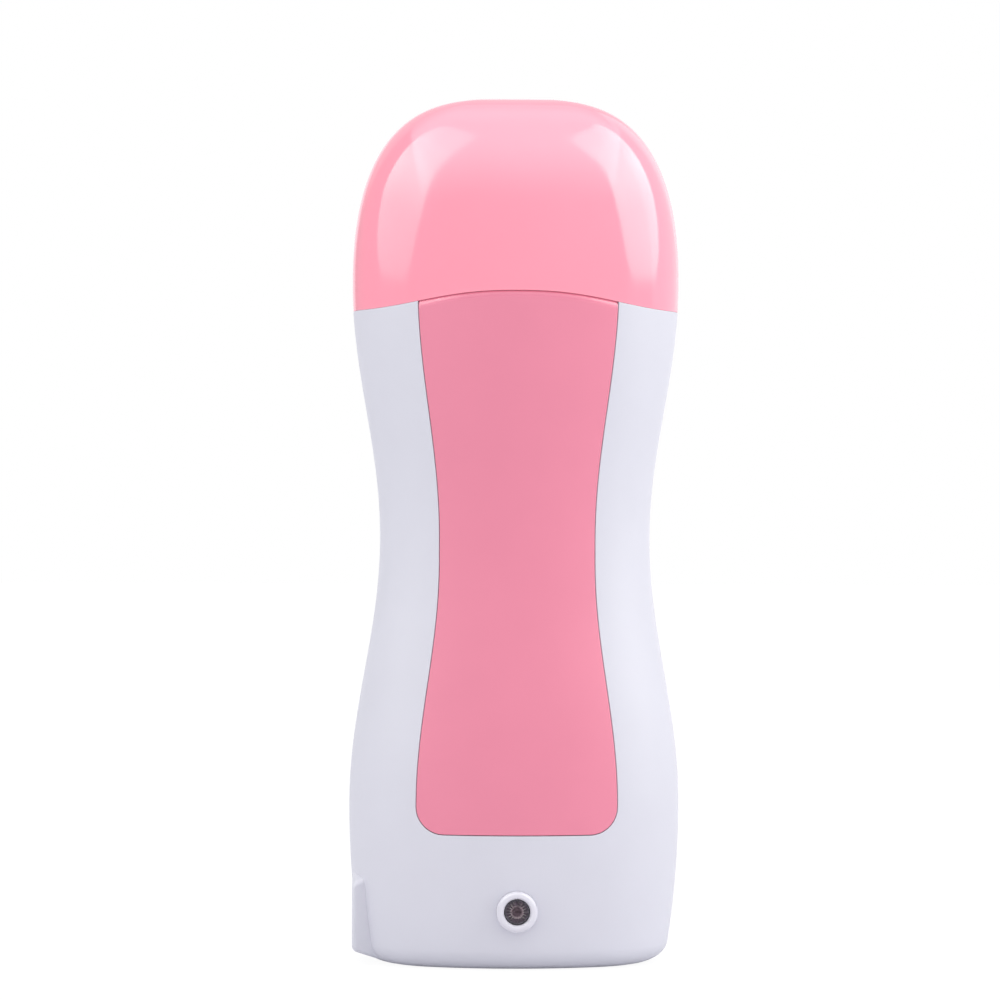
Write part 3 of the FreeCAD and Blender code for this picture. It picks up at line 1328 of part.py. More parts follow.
def make_head():
    """Cartridge head: flange, plug, roller block with its trough, two cheeks and a feed slot."""
    head = new_body("head_block")
    flange = new_sketch(head, "flange_sketch", "XY_Plane")
    rounded_rectangle(flange, s.tank_half_width + s.flange_overhang,
                      s.tank_half_depth + s.flange_overhang,
                      s.tank_corner_radius + s.flange_overhang)
    pad(head, "flange", flange, s.flange_thickness)
    inset = s.tank_wall + s.plug_gap
    plug = new_sketch(head, "plug_sketch", "XY_Plane", -s.plug_length)
    rounded_rectangle(plug, s.tank_half_width - inset, s.tank_half_depth - inset,
                      s.tank_corner_radius - inset)
    pad(head, "plug", plug, s.plug_length)
    inset = inset + s.plug_wall
    hollow = new_sketch(head, "plug_hollow_sketch", "XY_Plane", -s.plug_length)
    rounded_rectangle(hollow, s.tank_half_width - inset, s.tank_half_depth - inset,
                      s.tank_corner_radius - inset)
    pocket(head, "plug_hollow", hollow, s.plug_length, reverse=True)
    block = new_sketch(head, "block_sketch", "XY_Plane", s.flange_thickness)
    rounded_rectangle(block, s.head_half_width, s.head_half_depth, s.head_corner_radius)
    pad(head, "block", block, s.head_height)
    axis_height = s.flange_thickness + s.roller_rise
    cheek = new_sketch(head, "cheek_sketch", "YZ_Plane")
    zero = Size(0, "0")
    half, top = s.head_half_depth * CHEEK_FOOT_SHARE, axis_height + s.cheek_radius
    polygon(cheek, [(-half, s.flange_thickness), (half, s.flange_thickness),
                    (half, s.flange_thickness + s.head_height),
                    (s.cheek_radius * CHEEK_TOP_SHARE, top), (-s.cheek_radius * CHEEK_TOP_SHARE, top),
                    (-half, s.flange_thickness + s.head_height)])
    pad(head, "cheeks", cheek, 2 * s.head_half_width, both_ways=True)
    trough = cylinder("trough", s.roller_radius + s.roller_gap,
                      2 * (s.roller_half_length + s.roller_gap),
                      (-s.roller_half_length - s.roller_gap, zero, axis_height), TURN_TO_X)
    gap = s.roller_half_length + s.roller_gap
    space = box("roller_space", (-gap, gap), (-s.head_half_depth - PAST, s.head_half_depth + PAST),
                (s.flange_thickness + s.head_height, top + PAST))
    bore = cylinder("pin_bore", s.pin_radius + s.pin_running_gap,
                    2 * (s.head_half_width - s.pin_inset + s.pin_running_gap),
                    (s.pin_inset - s.pin_running_gap - s.head_half_width, zero, axis_height),
                    TURN_TO_X)
    slot = box("feed_slot", (-s.feed_half_width, s.feed_half_width),
               (-s.feed_half_depth, s.feed_half_depth), (-s.flange_thickness, axis_height))
    done = cut("head_cut", head, trough, space, bore, slot)
    place(done, zero, zero, s.tank_low_height + s.tank_height)
    return node(done, "cartridge_head")


def roller_axis_height():
    return s.tank_low_height + s.tank_height + s.flange_thickness + s.roller_rise


def make_roller():
    """Roller: a drum turned about X on its steel pin."""
    roller = new_body("roller")
    zero = Size(0, "0")
    low, high = -s.roller_half_length, s.roller_half_length
    turned = ring_turned(roller, "roller_profile", [
        (s.pin_radius, low), (s.roller_radius, low), (s.roller_radius, high), (s.pin_radius, high)])
    round_edges(roller, "roller_ends", turned, s.roller_end_radius,
                lambda edge: edge.BoundBox.XMax > float(s.roller_radius) - 0.1
                and edge.BoundBox.ZLength < 1e-6)
    place(roller, zero, zero, roller_axis_height(), TURN_TO_X)
    node(roller, "roller")
    pin_half = s.head_half_width - s.pin_inset
    pin = cylinder("roller_pin", s.pin_radius, 2 * pin_half,
                   (-pin_half, zero, roller_axis_height()), TURN_TO_X)
    return node(pin, "roller_pin")


# ---------------------------------------------------------------- build, check and write

make_shells()
make_front_panel()
make_cap()
make_neck()
make_inlet()
make_contacts()
make_shell_screws()
make_bay_floor()
make_heat_tray()
make_tray_screws()
make_ptc_heater()
make_insulation_sheet()
make_ptc_clip()
make_clip_rivets()
make_thermostat()
make_thermal_fuse()
make_lamp_bezel()
make_lamp_lens()
make_neon()
make_lamp_board()
make_resistor()
make_leads()
make_lamp_leads()
make_tank()
make_wax()
make_head()
make_roller()
doc.recompute()

for thing in doc.Objects:
    if "Invalid" in thing.State or "Error" in thing.State:
        raise RuntimeError(f"{thing.Name}: {thing.State}")

os.makedirs("parts", exist_ok=True)
for piece in nodes:
    shape = piece.Shape
    if shape.isNull() or not shape.isValid():
        raise RuntimeError(f"{piece.Label} has no valid shape")
    bounds = shape.BoundBox
    print(f"{piece.Label:18s} solids {len(shape.Solids)}  volume {shape.Volume:10.1f}  "
          f"x {bounds.XMin:7.2f} {bounds.XMax:7.2f}  y {bounds.YMin:7.2f} {bounds.YMax:7.2f}  "
          f"z {bounds.ZMin:7.2f} {bounds.ZMax:7.2f}")
    shape.exportStep(f"parts/{piece.Label}.step")
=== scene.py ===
# %% [markdown]
# # A roll-on wax heater
# The heater is a hand-held tool for warm wax. Two white shells with a narrow waist make the
# grip, a pink panel is let into the front, and a pink dome covers the roller of the cartridge.
# The lesson sets up camera and light, models the outside in millimetres, and ends with a
# finish for every part inside.

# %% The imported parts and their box
import math

import bpy
from mathutils import Matrix


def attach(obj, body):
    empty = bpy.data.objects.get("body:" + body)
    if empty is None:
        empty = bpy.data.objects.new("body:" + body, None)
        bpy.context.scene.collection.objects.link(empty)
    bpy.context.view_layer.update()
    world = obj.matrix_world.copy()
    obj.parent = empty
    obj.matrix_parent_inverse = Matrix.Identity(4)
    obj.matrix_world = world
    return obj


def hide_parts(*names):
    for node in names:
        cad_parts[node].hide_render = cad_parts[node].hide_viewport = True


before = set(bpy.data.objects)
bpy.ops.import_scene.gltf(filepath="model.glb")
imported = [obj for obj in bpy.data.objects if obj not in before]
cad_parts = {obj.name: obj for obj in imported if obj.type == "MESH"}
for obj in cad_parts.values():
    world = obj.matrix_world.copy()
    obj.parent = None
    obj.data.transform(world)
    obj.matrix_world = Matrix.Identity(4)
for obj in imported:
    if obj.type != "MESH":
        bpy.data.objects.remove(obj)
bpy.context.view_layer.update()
scene = bpy.context.scene

# %% [markdown]
# ## Camera
# A product picture of an upright tool is taken from straight in front with a long lens, so
# that its sides stay parallel. The camera here is level, 0.9 m away, a little to the left of
# the middle and rolled by a fifth of a degree. It could be placed by hand in the viewport.
# Worked out from a distance and a field width, it can be repeated and is easy to change.

# %% Camera
VIEW_TURN, VIEW_ROLL = math.radians(-1.5), math.radians(0.2)
VIEW_DISTANCE, VIEW_HEIGHT, VIEW_SHIFT, FIELD_WIDTH = 0.9, 0.1047, -0.0034, 0.228

bpy.ops.object.select_all(action="DESELECT")
bpy.ops.object.camera_add()
camera = bpy.context.object
camera.name = "camera"
camera.data.angle = 2 * math.atan(FIELD_WIDTH / 2 / VIEW_DISTANCE)
back = (math.sin(VIEW_TURN), -math.cos(VIEW_TURN))
right = (math.cos(VIEW_TURN), math.sin(VIEW_TURN))
camera.location = (back[0] * VIEW_DISTANCE + right[0] * VIEW_SHIFT,
                   back[1] * VIEW_DISTANCE + right[1] * VIEW_SHIFT, VIEW_HEIGHT)
camera.rotation_euler = (Matrix.Rotation(VIEW_TURN, 3, "Z")
                         @ Matrix.Rotation(math.pi / 2, 3, "X")
                         @ Matrix.Rotation(VIEW_ROLL, 3, "Z")).to_euler()
scene.camera = camera
print("lens angle in degrees:", round(math.degrees(camera.data.angle), 2))

# %% [markdown]
# ## Helpers for nodes
# Lights and finishes are small networks of nodes. They could be linked one by one, which
# takes many lines. These helpers add a node and feed its first sockets in one go.

# %% Node helpers
def add_node(tree, kind, *sources, **settings):
    """A node with these settings, its first sockets fed by outputs or plain values."""
    node = tree.nodes.new(kind)
    for key, value in settings.items():
        setattr(node, key, value)
    for socket, source in zip(node.inputs, sources):
        if isinstance(source, bpy.types.NodeSocket):
            tree.links.new(source, socket)
        else:
            socket.default_value = source
    return node


def calculate(tree, operation, *sources):
    """The result of a Math node."""
    return add_node(tree, "ShaderNodeMath", *sources, operation=operation).outputs[0]


def remap(tree, source, start=(0.0, 1.0), end=(0.0, 1.0), **settings):
    """A value carried over from one span to another."""
    return add_node(tree, "ShaderNodeMapRange", source, *start, *end, **settings).outputs[0]


def set_sockets(node, **values):
    """Set sockets by name, with an underscore for each space."""
    for socket, value in values.items():
        node.inputs[socket.replace("_", " ")].default_value = value


print("node helpers are ready")

# %% [markdown]
# ## Surround
# An even white surround lights the object from all sides, as a light tent does. A picture of a
# studio could do it, but one plain colour is easier to balance. Gloss sees it at half its
# strength, so that the softboxes stand out, and the camera sees pure white.

# %% Surround
FILL, GLOSS_FILL, SEEN_FILL = 0.91, 0.45, 1.0
WHITE = (1, 1, 1, 1)

scene.view_settings.view_transform = "Standard"
world = bpy.data.worlds.new("studio_surround")
scene.world = world
world.use_nodes = True
world_tree = world.node_tree
surround = world_tree.nodes["Background"]
surround.inputs["Color"].default_value = WHITE
ray = add_node(world_tree, "ShaderNodeLightPath")
world_tree.links.new(remap(world_tree, ray.outputs["Is Glossy Ray"], end=(FILL, GLOSS_FILL)),
                     surround.inputs["Strength"])
backdrop = add_node(world_tree, "ShaderNodeBackground", WHITE, SEEN_FILL)
either = add_node(world_tree, "ShaderNodeMixShader", ray.outputs["Is Camera Ray"],
                  surround.outputs[0], backdrop.outputs[0])
world_tree.links.new(either.outputs[0], world_tree.nodes["World Output"].inputs["Surface"])
print("surround:", FILL, "- in gloss:", GLOSS_FILL)

# %% [markdown]
# ## Studio light
# Glossy plastic shows its surroundings, so the lights are chosen for their reflections. Two
# upright softboxes at the sides give the two bright curved strips on the dome. A plain area
# light would show hard corners and one even tone, so each softbox gets a ramp of brightness
# and a rounded outline, as a real one has.

# %% Softbox helpers
SUBJECT_HEIGHT = 0.15
TAPER_START, OUTLINE_EDGE = -0.3, (1.02, 0.84)


def softbox(name, turn, rise, distance, size, glow, lean=0, lights_up=True, reflects=True):
    """A rectangular light that faces the dome from one direction."""
    turn, rise = math.radians(turn), math.radians(rise)
    flat = math.cos(rise) * distance
    bpy.ops.object.light_add(type="AREA", location=(
        math.sin(turn) * flat, -math.cos(turn) * flat,
        SUBJECT_HEIGHT + math.sin(rise) * distance))
    lamp = bpy.context.object
    lamp.name = name
    lamp.data.shape = "RECTANGLE"
    lamp.data.size, lamp.data.size_y = size
    lamp.data.energy = glow * math.pi * size[0] * size[1]
    lamp.rotation_euler = (math.pi / 2 - rise, 0, turn)
    lamp.rotation_euler.rotate_axis("Z", math.radians(lean))
    lamp.visible_camera = False
    lamp.visible_diffuse, lamp.visible_glossy = lights_up, reflects
    return lamp


def fade(lamp, roundness, *stops, taper=0.0, drift=0.0):
    """Glow by pairs of height share and strength, from bottom to top, in a rounded outline.

    The upper part gets narrower by the taper and moves sideways by the drift."""
    lamp.data.use_nodes = True
    tree = lamp.data.node_tree
    place = add_node(tree, "ShaderNodeNewGeometry").outputs["Parametric"]
    spot = add_node(tree, "ShaderNodeSeparateXYZ", place)
    ramp = add_node(tree, "ShaderNodeValToRGB", spot.outputs["Y"])
    ramp.color_ramp.interpolation = "EASE"
    while len(ramp.color_ramp.elements) < len(stops):
        ramp.color_ramp.elements.new(0.5)
    for element, (share, _) in zip(ramp.color_ramp.elements, stops):
        element.position = share
    for element, (_, strength) in zip(ramp.color_ramp.elements, stops):
        element.color = (strength, strength, strength, 1)
    across, upward = [remap(tree, spot.outputs[axis], end=(-1, 1)) for axis in "XY"]
    lifted = calculate(tree, "MAXIMUM", calculate(tree, "SUBTRACT", upward, TAPER_START), 0.0)
    narrow = calculate(tree, "MULTIPLY_ADD", lifted, -taper, 1.0)
    moved = calculate(tree, "SUBTRACT", across, calculate(tree, "MULTIPLY", lifted, drift))
    powers = [calculate(tree, "POWER", calculate(tree, "ABSOLUTE", share), roundness)
              for share in (calculate(tree, "DIVIDE", moved, narrow), upward)]
    mask = remap(tree, calculate(tree, "ADD", *powers), OUTLINE_EDGE,
                 interpolation_type="SMOOTHSTEP")
    tree.links.new(calculate(tree, "MULTIPLY", mask, ramp.outputs["Color"]),
                   tree.nodes["Emission"].inputs["Strength"])


print("the lights face this height in metres:", SUBJECT_HEIGHT)

# %% Lights for the gloss
STRIP_COLOUR = (1.0, 0.99, 0.90)

left_box = softbox("left_softbox", -71.5, 39.6, 0.623, (0.73, 0.925), 4.9, -2, lights_up=False)
right_box = softbox("right_softbox", 77.5, 37.4, 0.622, (0.695, 0.852), 5.9, lights_up=False)
left_box.data.color = right_box.data.color = STRIP_COLOUR
ceiling = softbox("ceiling_softbox", 0, 75, 0.75, (1.4, 2.0), 2.4, lights_up=False)
fade(left_box, 5, (0.0, 0.36), (0.24, 0.50), (0.52, 1.0), (0.68, 0.72), (0.87, 0.42), (1.0, 0.3),
     taper=0.5, drift=0.17)
fade(right_box, 5, (0.0, 0.56), (0.24, 0.70), (0.51, 1.0), (0.69, 0.74), (0.88, 0.46), (1.0, 0.35),
     taper=0.3, drift=-0.05)
fade(ceiling, 20, (0.09, 0.0), (0.46, 1.0), (0.62, 0.85), (0.98, 0.22))
softbox("right_wall", 122, 10, 1.2, (1.5, 2.0), 0.7, lights_up=False)
back_glow = softbox("back_glow", 180, 30, 1.2, (2.0, 1.2), 0.35, lights_up=False)
back_wall = softbox("back_wall", 180, 6, 1.2, (1.3, 0.8), 0.6, lights_up=False)
fade(back_glow, 3, (0.0, 0.2), (0.5, 1.0), (1.0, 1.0))
fade(back_wall, 3, (0.0, 1.0), (0.5, 1.0), (1.0, 0.6))

# %% [markdown]
# ## Light for the shade
# The soft shade of the plastic comes from wide weak lights that don't show in the gloss. One
# set of lights could do both, but then each change to a reflection would change the shade.

# %% Lights for the shade
softbox("top_fill", 180, 80, 0.75, (0.8, 0.6), 0.75, reflects=False)
softbox("left_fill", -72, 10, 1.1, (0.7, 1.0), 1.0, reflects=False)
softbox("right_fill", 72, 10, 1.1, (0.7, 1.0), 2.0, reflects=False)
softbox("front_fill", 0, 45, 0.5, (0.5, 0.3), 0.6, reflects=False)
softbox("back_fill", 180, 15, 1.2, (1.2, 1.0), 0.5, reflects=False)

# %% [markdown]
# ## Floor
# The floor is one large pale sheet. It could curve up behind the object as a roll of paper
# does, but from the front a flat one looks the same. A trace of glow keeps it light under the
# soft shadow of the foot.

# %% Floor
FLOOR_SIZE, FLOOR_DROP = 8.0, 0.0001
FLOOR_SEEN, FLOOR_SHADE = 0.93, (0.10, 0.10, 0.10, 1)

bpy.ops.mesh.primitive_plane_add(size=FLOOR_SIZE, location=(0, 0, -FLOOR_DROP))
floor = bpy.context.object
floor.name = "studio_floor"
paper = bpy.data.materials.new("floor_paper")
paper.use_nodes = True
paper_tree = paper.node_tree
sheet = paper_tree.nodes["Principled BSDF"]
set_sockets(sheet, Base_Color=(0.70, 0.70, 0.72, 1), Roughness=0.9, Specular_IOR_Level=0.1,
            Emission_Color=(0.97, 0.97, 1, 1), Emission_Strength=0.10)
shaded = add_node(paper_tree, "ShaderNodeBsdfDiffuse", FLOOR_SHADE)
glow = add_node(paper_tree, "ShaderNodeEmission", WHITE, FLOOR_SEEN)
together = add_node(paper_tree, "ShaderNodeAddShader", shaded.outputs[0], glow.outputs[0])
ray = add_node(paper_tree, "ShaderNodeLightPath")
either = add_node(paper_tree, "ShaderNodeMixShader", ray.outputs["Is Camera Ray"],
                  sheet.outputs[0], together.outputs[0])
paper_tree.links.new(either.outputs[0], paper_tree.nodes["Material Output"].inputs["Surface"])
floor.data.materials.append(paper)
print("floor in metres:", FLOOR_SIZE, "square, lowered by", FLOOR_DROP)

# %% [markdown]
# ## The oval form
# Every level of the grip is an oval of four arcs that meet without a corner. Its half width
# and half depth change smoothly from the foot over the hip and the waist to the shoulder, and
# the dome closes above. The form could be sculpted and cut apart. Written down once, in
# millimetres, it is shared by the shells, the panel and the cap, so their surfaces run on
# across the gaps.

# %% Sizes of the oval form, in millimetres
HIP, WAIST, SHOULDER, DOME_RISE = 36.0, 96.0, 154.0, 42.0
BASE_HALF, HIP_HALF = (34.4, 23.7), (37.5, 26.5)
WAIST_HALF, SHOULDER_HALF = (30.7, 22.0), (37.15, 25.0)
SIDE_SHARE = 0.9
DOME_POWER, DOME_POWERS = 2.3, (3.3, 2.2)
FOOT_ROUND, FOOT_RISE = 6.0, 4.5
SEAM_LOW, SEAM_RISE, SEAM_GAP = 147.4, 3.84, 0.04
SEAM_SPREAD, SEAM_POWER = 1.06, 1.25


def ease(share):
    """A smooth step from 0 to 1."""
    return (1 - math.cos(math.pi * share)) / 2


def half_sizes(z):
    """Half width and half depth of the form at a height."""
    if z <= HIP:
        start, end, share = HIP_HALF, BASE_HALF, ((HIP - z) / HIP) ** 2
    elif z <= WAIST:
        start, end, share = HIP_HALF, WAIST_HALF, ease((z - HIP) / (WAIST - HIP))
    elif z <= SHOULDER:
        start, end, share = WAIST_HALF, SHOULDER_HALF, ease((z - WAIST) / (SHOULDER - WAIST))
    else:
        left = max(1 - ((z - SHOULDER) / DOME_RISE) ** DOME_POWER, 0)
        return [half * left ** (1 / power) for half, power in zip(SHOULDER_HALF, DOME_POWERS)]
    return [low + (high - low) * share for low, high in zip(start, end)]


def oval(z, inset=0.0):
    """The oval at a height, drawn in by an inset: half width, half depth, radii and turn."""
    wide, deep = [half - inset for half in half_sizes(z)]
    side = (deep + inset) * SIDE_SHARE - inset
    flat = (deep ** 2 - side ** 2 + (wide - side) ** 2) / (2 * (deep - side))
    return wide, deep, side, flat, math.asin((wide - side) / (flat - side))


def reach_at(section, x):
    """Distance round the oval, from its side to the place with this x."""
    wide, deep, side, flat, turn = section
    if x > flat * math.sin(turn):
        return side * math.acos(min((x - wide + side) / side, 1))
    return side * (math.pi / 2 - turn) + flat * (turn - math.asin(x / flat))


def at_reach(section, reach):
    """The place at a distance round the oval from its side."""
    wide, deep, side, flat, turn = section
    bend = side * (math.pi / 2 - turn)
    if reach < bend:
        angle = reach / side
        return wide - side + side * math.cos(angle), side * math.sin(angle)
    angle = math.pi / 2 - turn + (reach - bend) / flat
    return max(flat * math.cos(angle), 0), flat * math.sin(angle) - (flat - deep)


def seam_height(x):
    """Height of the seam under the cap, which rises to the middle."""
    share = SEAM_SPREAD * (abs(x) / SHOULDER_HALF[0]) ** SEAM_POWER
    return SEAM_LOW + SEAM_RISE * (1 - ease(min(share, 1)))


print("oval at the waist:", [round(value, 2) for value in oval(WAIST)])

# %% [markdown]
# ## The outline of the front panel
# The panel follows the grip: wide at the hip, narrow at the waist, wide again at the cap, with
# two round corners at its foot. A drawn curve would do, but the opening and the panel would
# have to be matched by eye. Here one half width at each height serves them both.

# %% Panel outline
PANEL_FOOT, PANEL_CORNER = 30.25, 6.2
PANEL_LOW, PANEL_WAIST, PANEL_TOP = 22.55, 17.5, 22.55
PANEL_WAIST_START, PANEL_GAP = 91.0, 0.2
LABEL_HALF, LABEL_FOOT, LABEL_TOP = 17.0, 44.0, 68.0


def panel_edge(z, gap=0.0):
    """Half width of the panel at a height, drawn in by a gap."""
    centre = PANEL_FOOT + PANEL_CORNER
    corner = PANEL_CORNER - gap
    if z < centre:
        drop = min(centre - z, corner)
        return PANEL_LOW - PANEL_CORNER + math.sqrt(corner ** 2 - drop ** 2)
    if z <= WAIST:
        share = ease(min((z - centre) / (PANEL_WAIST_START - centre), 1))
        return PANEL_LOW + (PANEL_WAIST - PANEL_LOW) * share - gap
    share = ease((z - WAIST) / (SHOULDER - WAIST))
    return PANEL_WAIST + (PANEL_TOP - PANEL_WAIST) * share - gap


def label_edge(z):
    """Half width of the bare recess on the rear."""
    return LABEL_HALF


print("panel half width at foot, waist and top:",
      [round(panel_edge(z), 2) for z in (PANEL_FOOT, WAIST, SHOULDER)])

# %% [markdown]
# ## Helpers for selecting and for modifiers
# In the viewport, faces and edges are clicked. A script chooses them by their place or the way
# they face, which still works when a size changes. These helpers hold the steps that every
# piece repeats.

# %% Helpers for selections and modifiers
NEAR = 1e-4


def split(count, start=0.0, end=1.0):
    """Evenly spaced numbers from start to end."""
    return [start + (end - start) * step / count for step in range(count + 1)]


def only(piece):
    """Make one object the active and only selected one."""
    bpy.ops.object.select_all(action="DESELECT")
    piece.select_set(True)
    bpy.context.view_layer.objects.active = piece


def pick(piece, kind, test):
    """Open a piece in edit mode with only the elements selected that pass a test."""
    only(piece)
    bpy.ops.object.mode_set(mode="EDIT")
    bpy.ops.mesh.select_mode(type=kind)
    bpy.ops.mesh.select_all(action="DESELECT")
    bpy.ops.object.mode_set(mode="OBJECT")
    mesh = piece.data
    for element in {"VERT": mesh.vertices, "EDGE": mesh.edges, "FACE": mesh.polygons}[kind]:
        element.select = bool(test(element))
    bpy.ops.object.mode_set(mode="EDIT")


def done():
    """Leave edit mode."""
    bpy.ops.object.mode_set(mode="OBJECT")


def new_piece(name, add, **settings):
    """Add one primitive with its operator and name it."""
    bpy.ops.object.select_all(action="DESELECT")
    add(**settings)
    piece = bpy.context.object
    piece.name = piece.data.name = name
    return piece


def ends(piece, edge):
    """The two end points of an edge."""
    return [piece.data.vertices[index].co for index in edge.vertices]


def fill_ring(piece, test):
    """Add one face on the ring of edges whose ends pass a test."""
    pick(piece, "EDGE", lambda edge: all(test(end) for end in ends(piece, edge)))
    bpy.ops.mesh.edge_face_add()
    done()


def apply_modifier(piece, kind, **settings):
    """Add a modifier with these settings and apply it."""
    only(piece)
    modifier = piece.modifiers.new(kind.lower(), kind)
    for key, value in settings.items():
        setattr(modifier, key, value)
    bpy.ops.object.modifier_apply(modifier=modifier.name)


def thicken(piece, wall):
    """Give a surface a wall toward its inside."""
    apply_modifier(piece, "SOLIDIFY", thickness=wall, offset=-1, use_even_offset=True)


def bisect_middle(piece, front=1, **settings):
    """Cut a piece at the middle plane, which faces this way along the depth."""
    pick(piece, "VERT", lambda vertex: True)
    bpy.ops.mesh.bisect(plane_co=(0, 0, 0), plane_no=(0, front, 0), **settings)
    done()


print("four even steps:", split(4))

# %% [markdown]
# ## Wrapping a grid round the form
# A flat grid gives a moulded surface nothing but four-sided faces. A subdivided box would
# round off too, but here the edges of openings fall on a column or a row. A narrow one beside
# each edge holds the surface flat up to the rounded rim.

# %% Helpers for wrapped grids
HOLD = 0.35
SETTLE_STEPS = 4


def form_point(column, row):
    """Where a column crosses a row on the form. A row's height may depend on x."""
    side, front, edge, place = column
    height, inset = row
    x = y = z = 0.0
    for _ in range(SETTLE_STEPS):
        z = height(x)
        section = oval(z, inset)
        stop = reach_at(section, max(edge(z) - inset * side_lean(section, edge(z)), 0))
        x, y = at_reach(section, place(stop, reach_at(section, 0.0)))
    return side * x, front * y, z


def side_lean(section, x):
    """How far sideways the surface faces at this x, from 0 in the middle to 1 at the side."""
    wide, deep, side, flat, turn = section
    if x <= flat * math.sin(turn):
        return x / flat
    return (x - wide + side) / side


def wrap_grid(name, columns, rows, leave_out=None):
    """A grid wrapped on the form, without the faces that leave_out(row, column) names."""
    piece = new_piece(name, bpy.ops.mesh.primitive_grid_add, size=2,
                      x_subdivisions=len(columns) - 1, y_subdivisions=len(rows) - 1)
    order = sorted(piece.data.vertices, key=lambda v: (round(v.co.y, 5), round(v.co.x, 5)))
    cell = {}
    for index, vertex in enumerate(order):
        cell[vertex.index] = divmod(index, len(columns))
        row, column = cell[vertex.index]
        vertex.co = form_point(columns[column], rows[row])
    if leave_out:
        corners = {face.index: [cell[v] for v in face.vertices] for face in piece.data.polygons}
        pick(piece, "FACE", lambda face: leave_out(min(c[0] for c in corners[face.index]),
                                                   min(c[1] for c in corners[face.index])))
        bpy.ops.mesh.delete(type="FACE")
        done()
    return piece


def level(z, inset=0.0):
    """A flat row."""
    return (lambda x: z), inset


def wave(share, start, lift=0.0, inset=0.0):
    """A row between a flat height and the seam, which is reached at share 1."""
    return (lambda x: start + (seam_height(x) + lift - start) * share), inset


print("a holding row lies this far from its edge in mm:", HOLD)

# %% [markdown]
# ## Columns and rows of the grip
# From the right side the columns run over the back, where two follow the label recess, and
# return over the front, where two follow the panel. The rows start on the rounded rim of the
# foot and bend into the wave of the seam. Even rows would be simpler, but would leave the
# openings with stepped edges.

# %% Columns and rows
SIDE_COLUMNS, MIDDLE_COLUMNS = 20, 12
ROUND_STEPS, LABEL_STEPS, WAVE_STEPS, UPPER_STEPS = 9, 12, 5, 35
UPPER_START, WAVE_START = 70.0, 140.0
LOWER_ROWS, HIP_ROWS = (6.2, *split(10, 8.0, 28.0), 29.2), (39.0, 41.0, 42.6)


def inner_columns(side, front, edge):
    """Columns from the edge to the middle."""
    return [(side, front, edge, lambda stop, whole, share=share: stop + (whole - stop) * share)
            for share in split(MIDDLE_COLUMNS)]


def quarter(side, front, edge):
    """Columns from the side to the middle, with a holding column beside the edge."""
    outer = [(side, front, edge, lambda stop, whole, share=share: stop * share)
             for share in split(SIDE_COLUMNS)]
    outer.insert(-1, (side, front, edge, lambda stop, whole: stop - HOLD))
    return outer + inner_columns(side, front, edge)[1:]


def half_round(front, edge):
    """Columns from the right side to the left side over the back, or back over the front."""
    return quarter(1, front, edge) + quarter(-1, front, edge)[-2::-1]


def corner_heights(gap=0.0):
    """Row heights round the lower corners of the panel."""
    return [PANEL_FOOT + gap + (PANEL_CORNER - gap) * (1 - math.cos(angle))
            for angle in split(ROUND_STEPS, 0, math.pi / 2)]


back_columns = half_round(1, label_edge)
front_columns = half_round(-1, panel_edge)[::-1]
grip_columns = back_columns + front_columns[1:]

foot_rows = [level(FOOT_RISE * (1 - math.cos(angle)), FOOT_ROUND * (1 - math.sin(angle)))
             for angle in split(ROUND_STEPS, 0, math.pi / 2)]
heights = [*LOWER_ROWS, PANEL_FOOT - HOLD, *corner_heights(), *HIP_ROWS]
heights += [LABEL_FOOT - HOLD, *split(LABEL_STEPS, LABEL_FOOT, LABEL_TOP), LABEL_TOP + HOLD]
heights += split(UPPER_STEPS, UPPER_START, WAVE_START)
wave_rows = [wave(share, WAVE_START) for share in split(WAVE_STEPS)[1:-1]]
wave_rows += [wave(1, WAVE_START, -HOLD), wave(1, WAVE_START)]
grip_rows = foot_rows + [level(z) for z in heights] + wave_rows
print("grip grid:", len(grip_columns), "columns by", len(grip_rows), "rows")

# %% [markdown]
# ## Materials for moulded plastic
# Moulded plastic has a faint cloudy tone, a roughness that varies a little, and a fine grain.
# Painted pictures could carry these, but noise in object coordinates needs no unwrapping and
# stays sharp close up. One helper builds them all.

# %% Material helpers
TONE_SPAN = (0.25, 0.75)
GLOSS_DRIFT, STREAK_DRIFT = 0.12, 0.3


def new_material(name):
    """An empty node material with its shader and object coordinates."""
    material = bpy.data.materials.new(name)
    material.use_nodes = True
    place = add_node(material.node_tree, "ShaderNodeTexCoord").outputs["Object"]
    return material, material.node_tree.nodes["Principled BSDF"], place


def feed(material, socket, source):
    """Link a source to a socket of the material's shader."""
    tree = material.node_tree
    tree.links.new(source, tree.nodes["Principled BSDF"].inputs[socket])


def noise(material, place, size, detail=3.0, stretch=None):
    """Noise with features of about this size in metres."""
    tree = material.node_tree
    if stretch:
        mapping = add_node(tree, "ShaderNodeMapping", place)
        set_sockets(mapping, Scale=stretch)
        place = mapping.outputs["Vector"]
    texture = add_node(tree, "ShaderNodeTexNoise", place)
    set_sockets(texture, Scale=1 / size, Detail=detail)
    return texture.outputs["Fac"]


def tone(material, factor, colour, spread):
    """Base colour that drifts from a little darker to a little lighter with a factor."""
    ramp = add_node(material.node_tree, "ShaderNodeValToRGB", factor)
    for stop, place, gain in zip(ramp.color_ramp.elements, TONE_SPAN, (1 - spread, 1 + spread)):
        stop.position = place
        stop.color = [min(part * gain, 1) for part in colour] + [1]
    feed(material, "Base Color", ramp.outputs["Color"])
    return ramp.outputs["Color"]


def vary_roughness(material, factor, roughness, spread):
    """Roughness that drifts round its value with a factor."""
    feed(material, "Roughness", remap(material.node_tree, factor,
                                      end=(max(roughness - spread, 0), roughness + spread)))


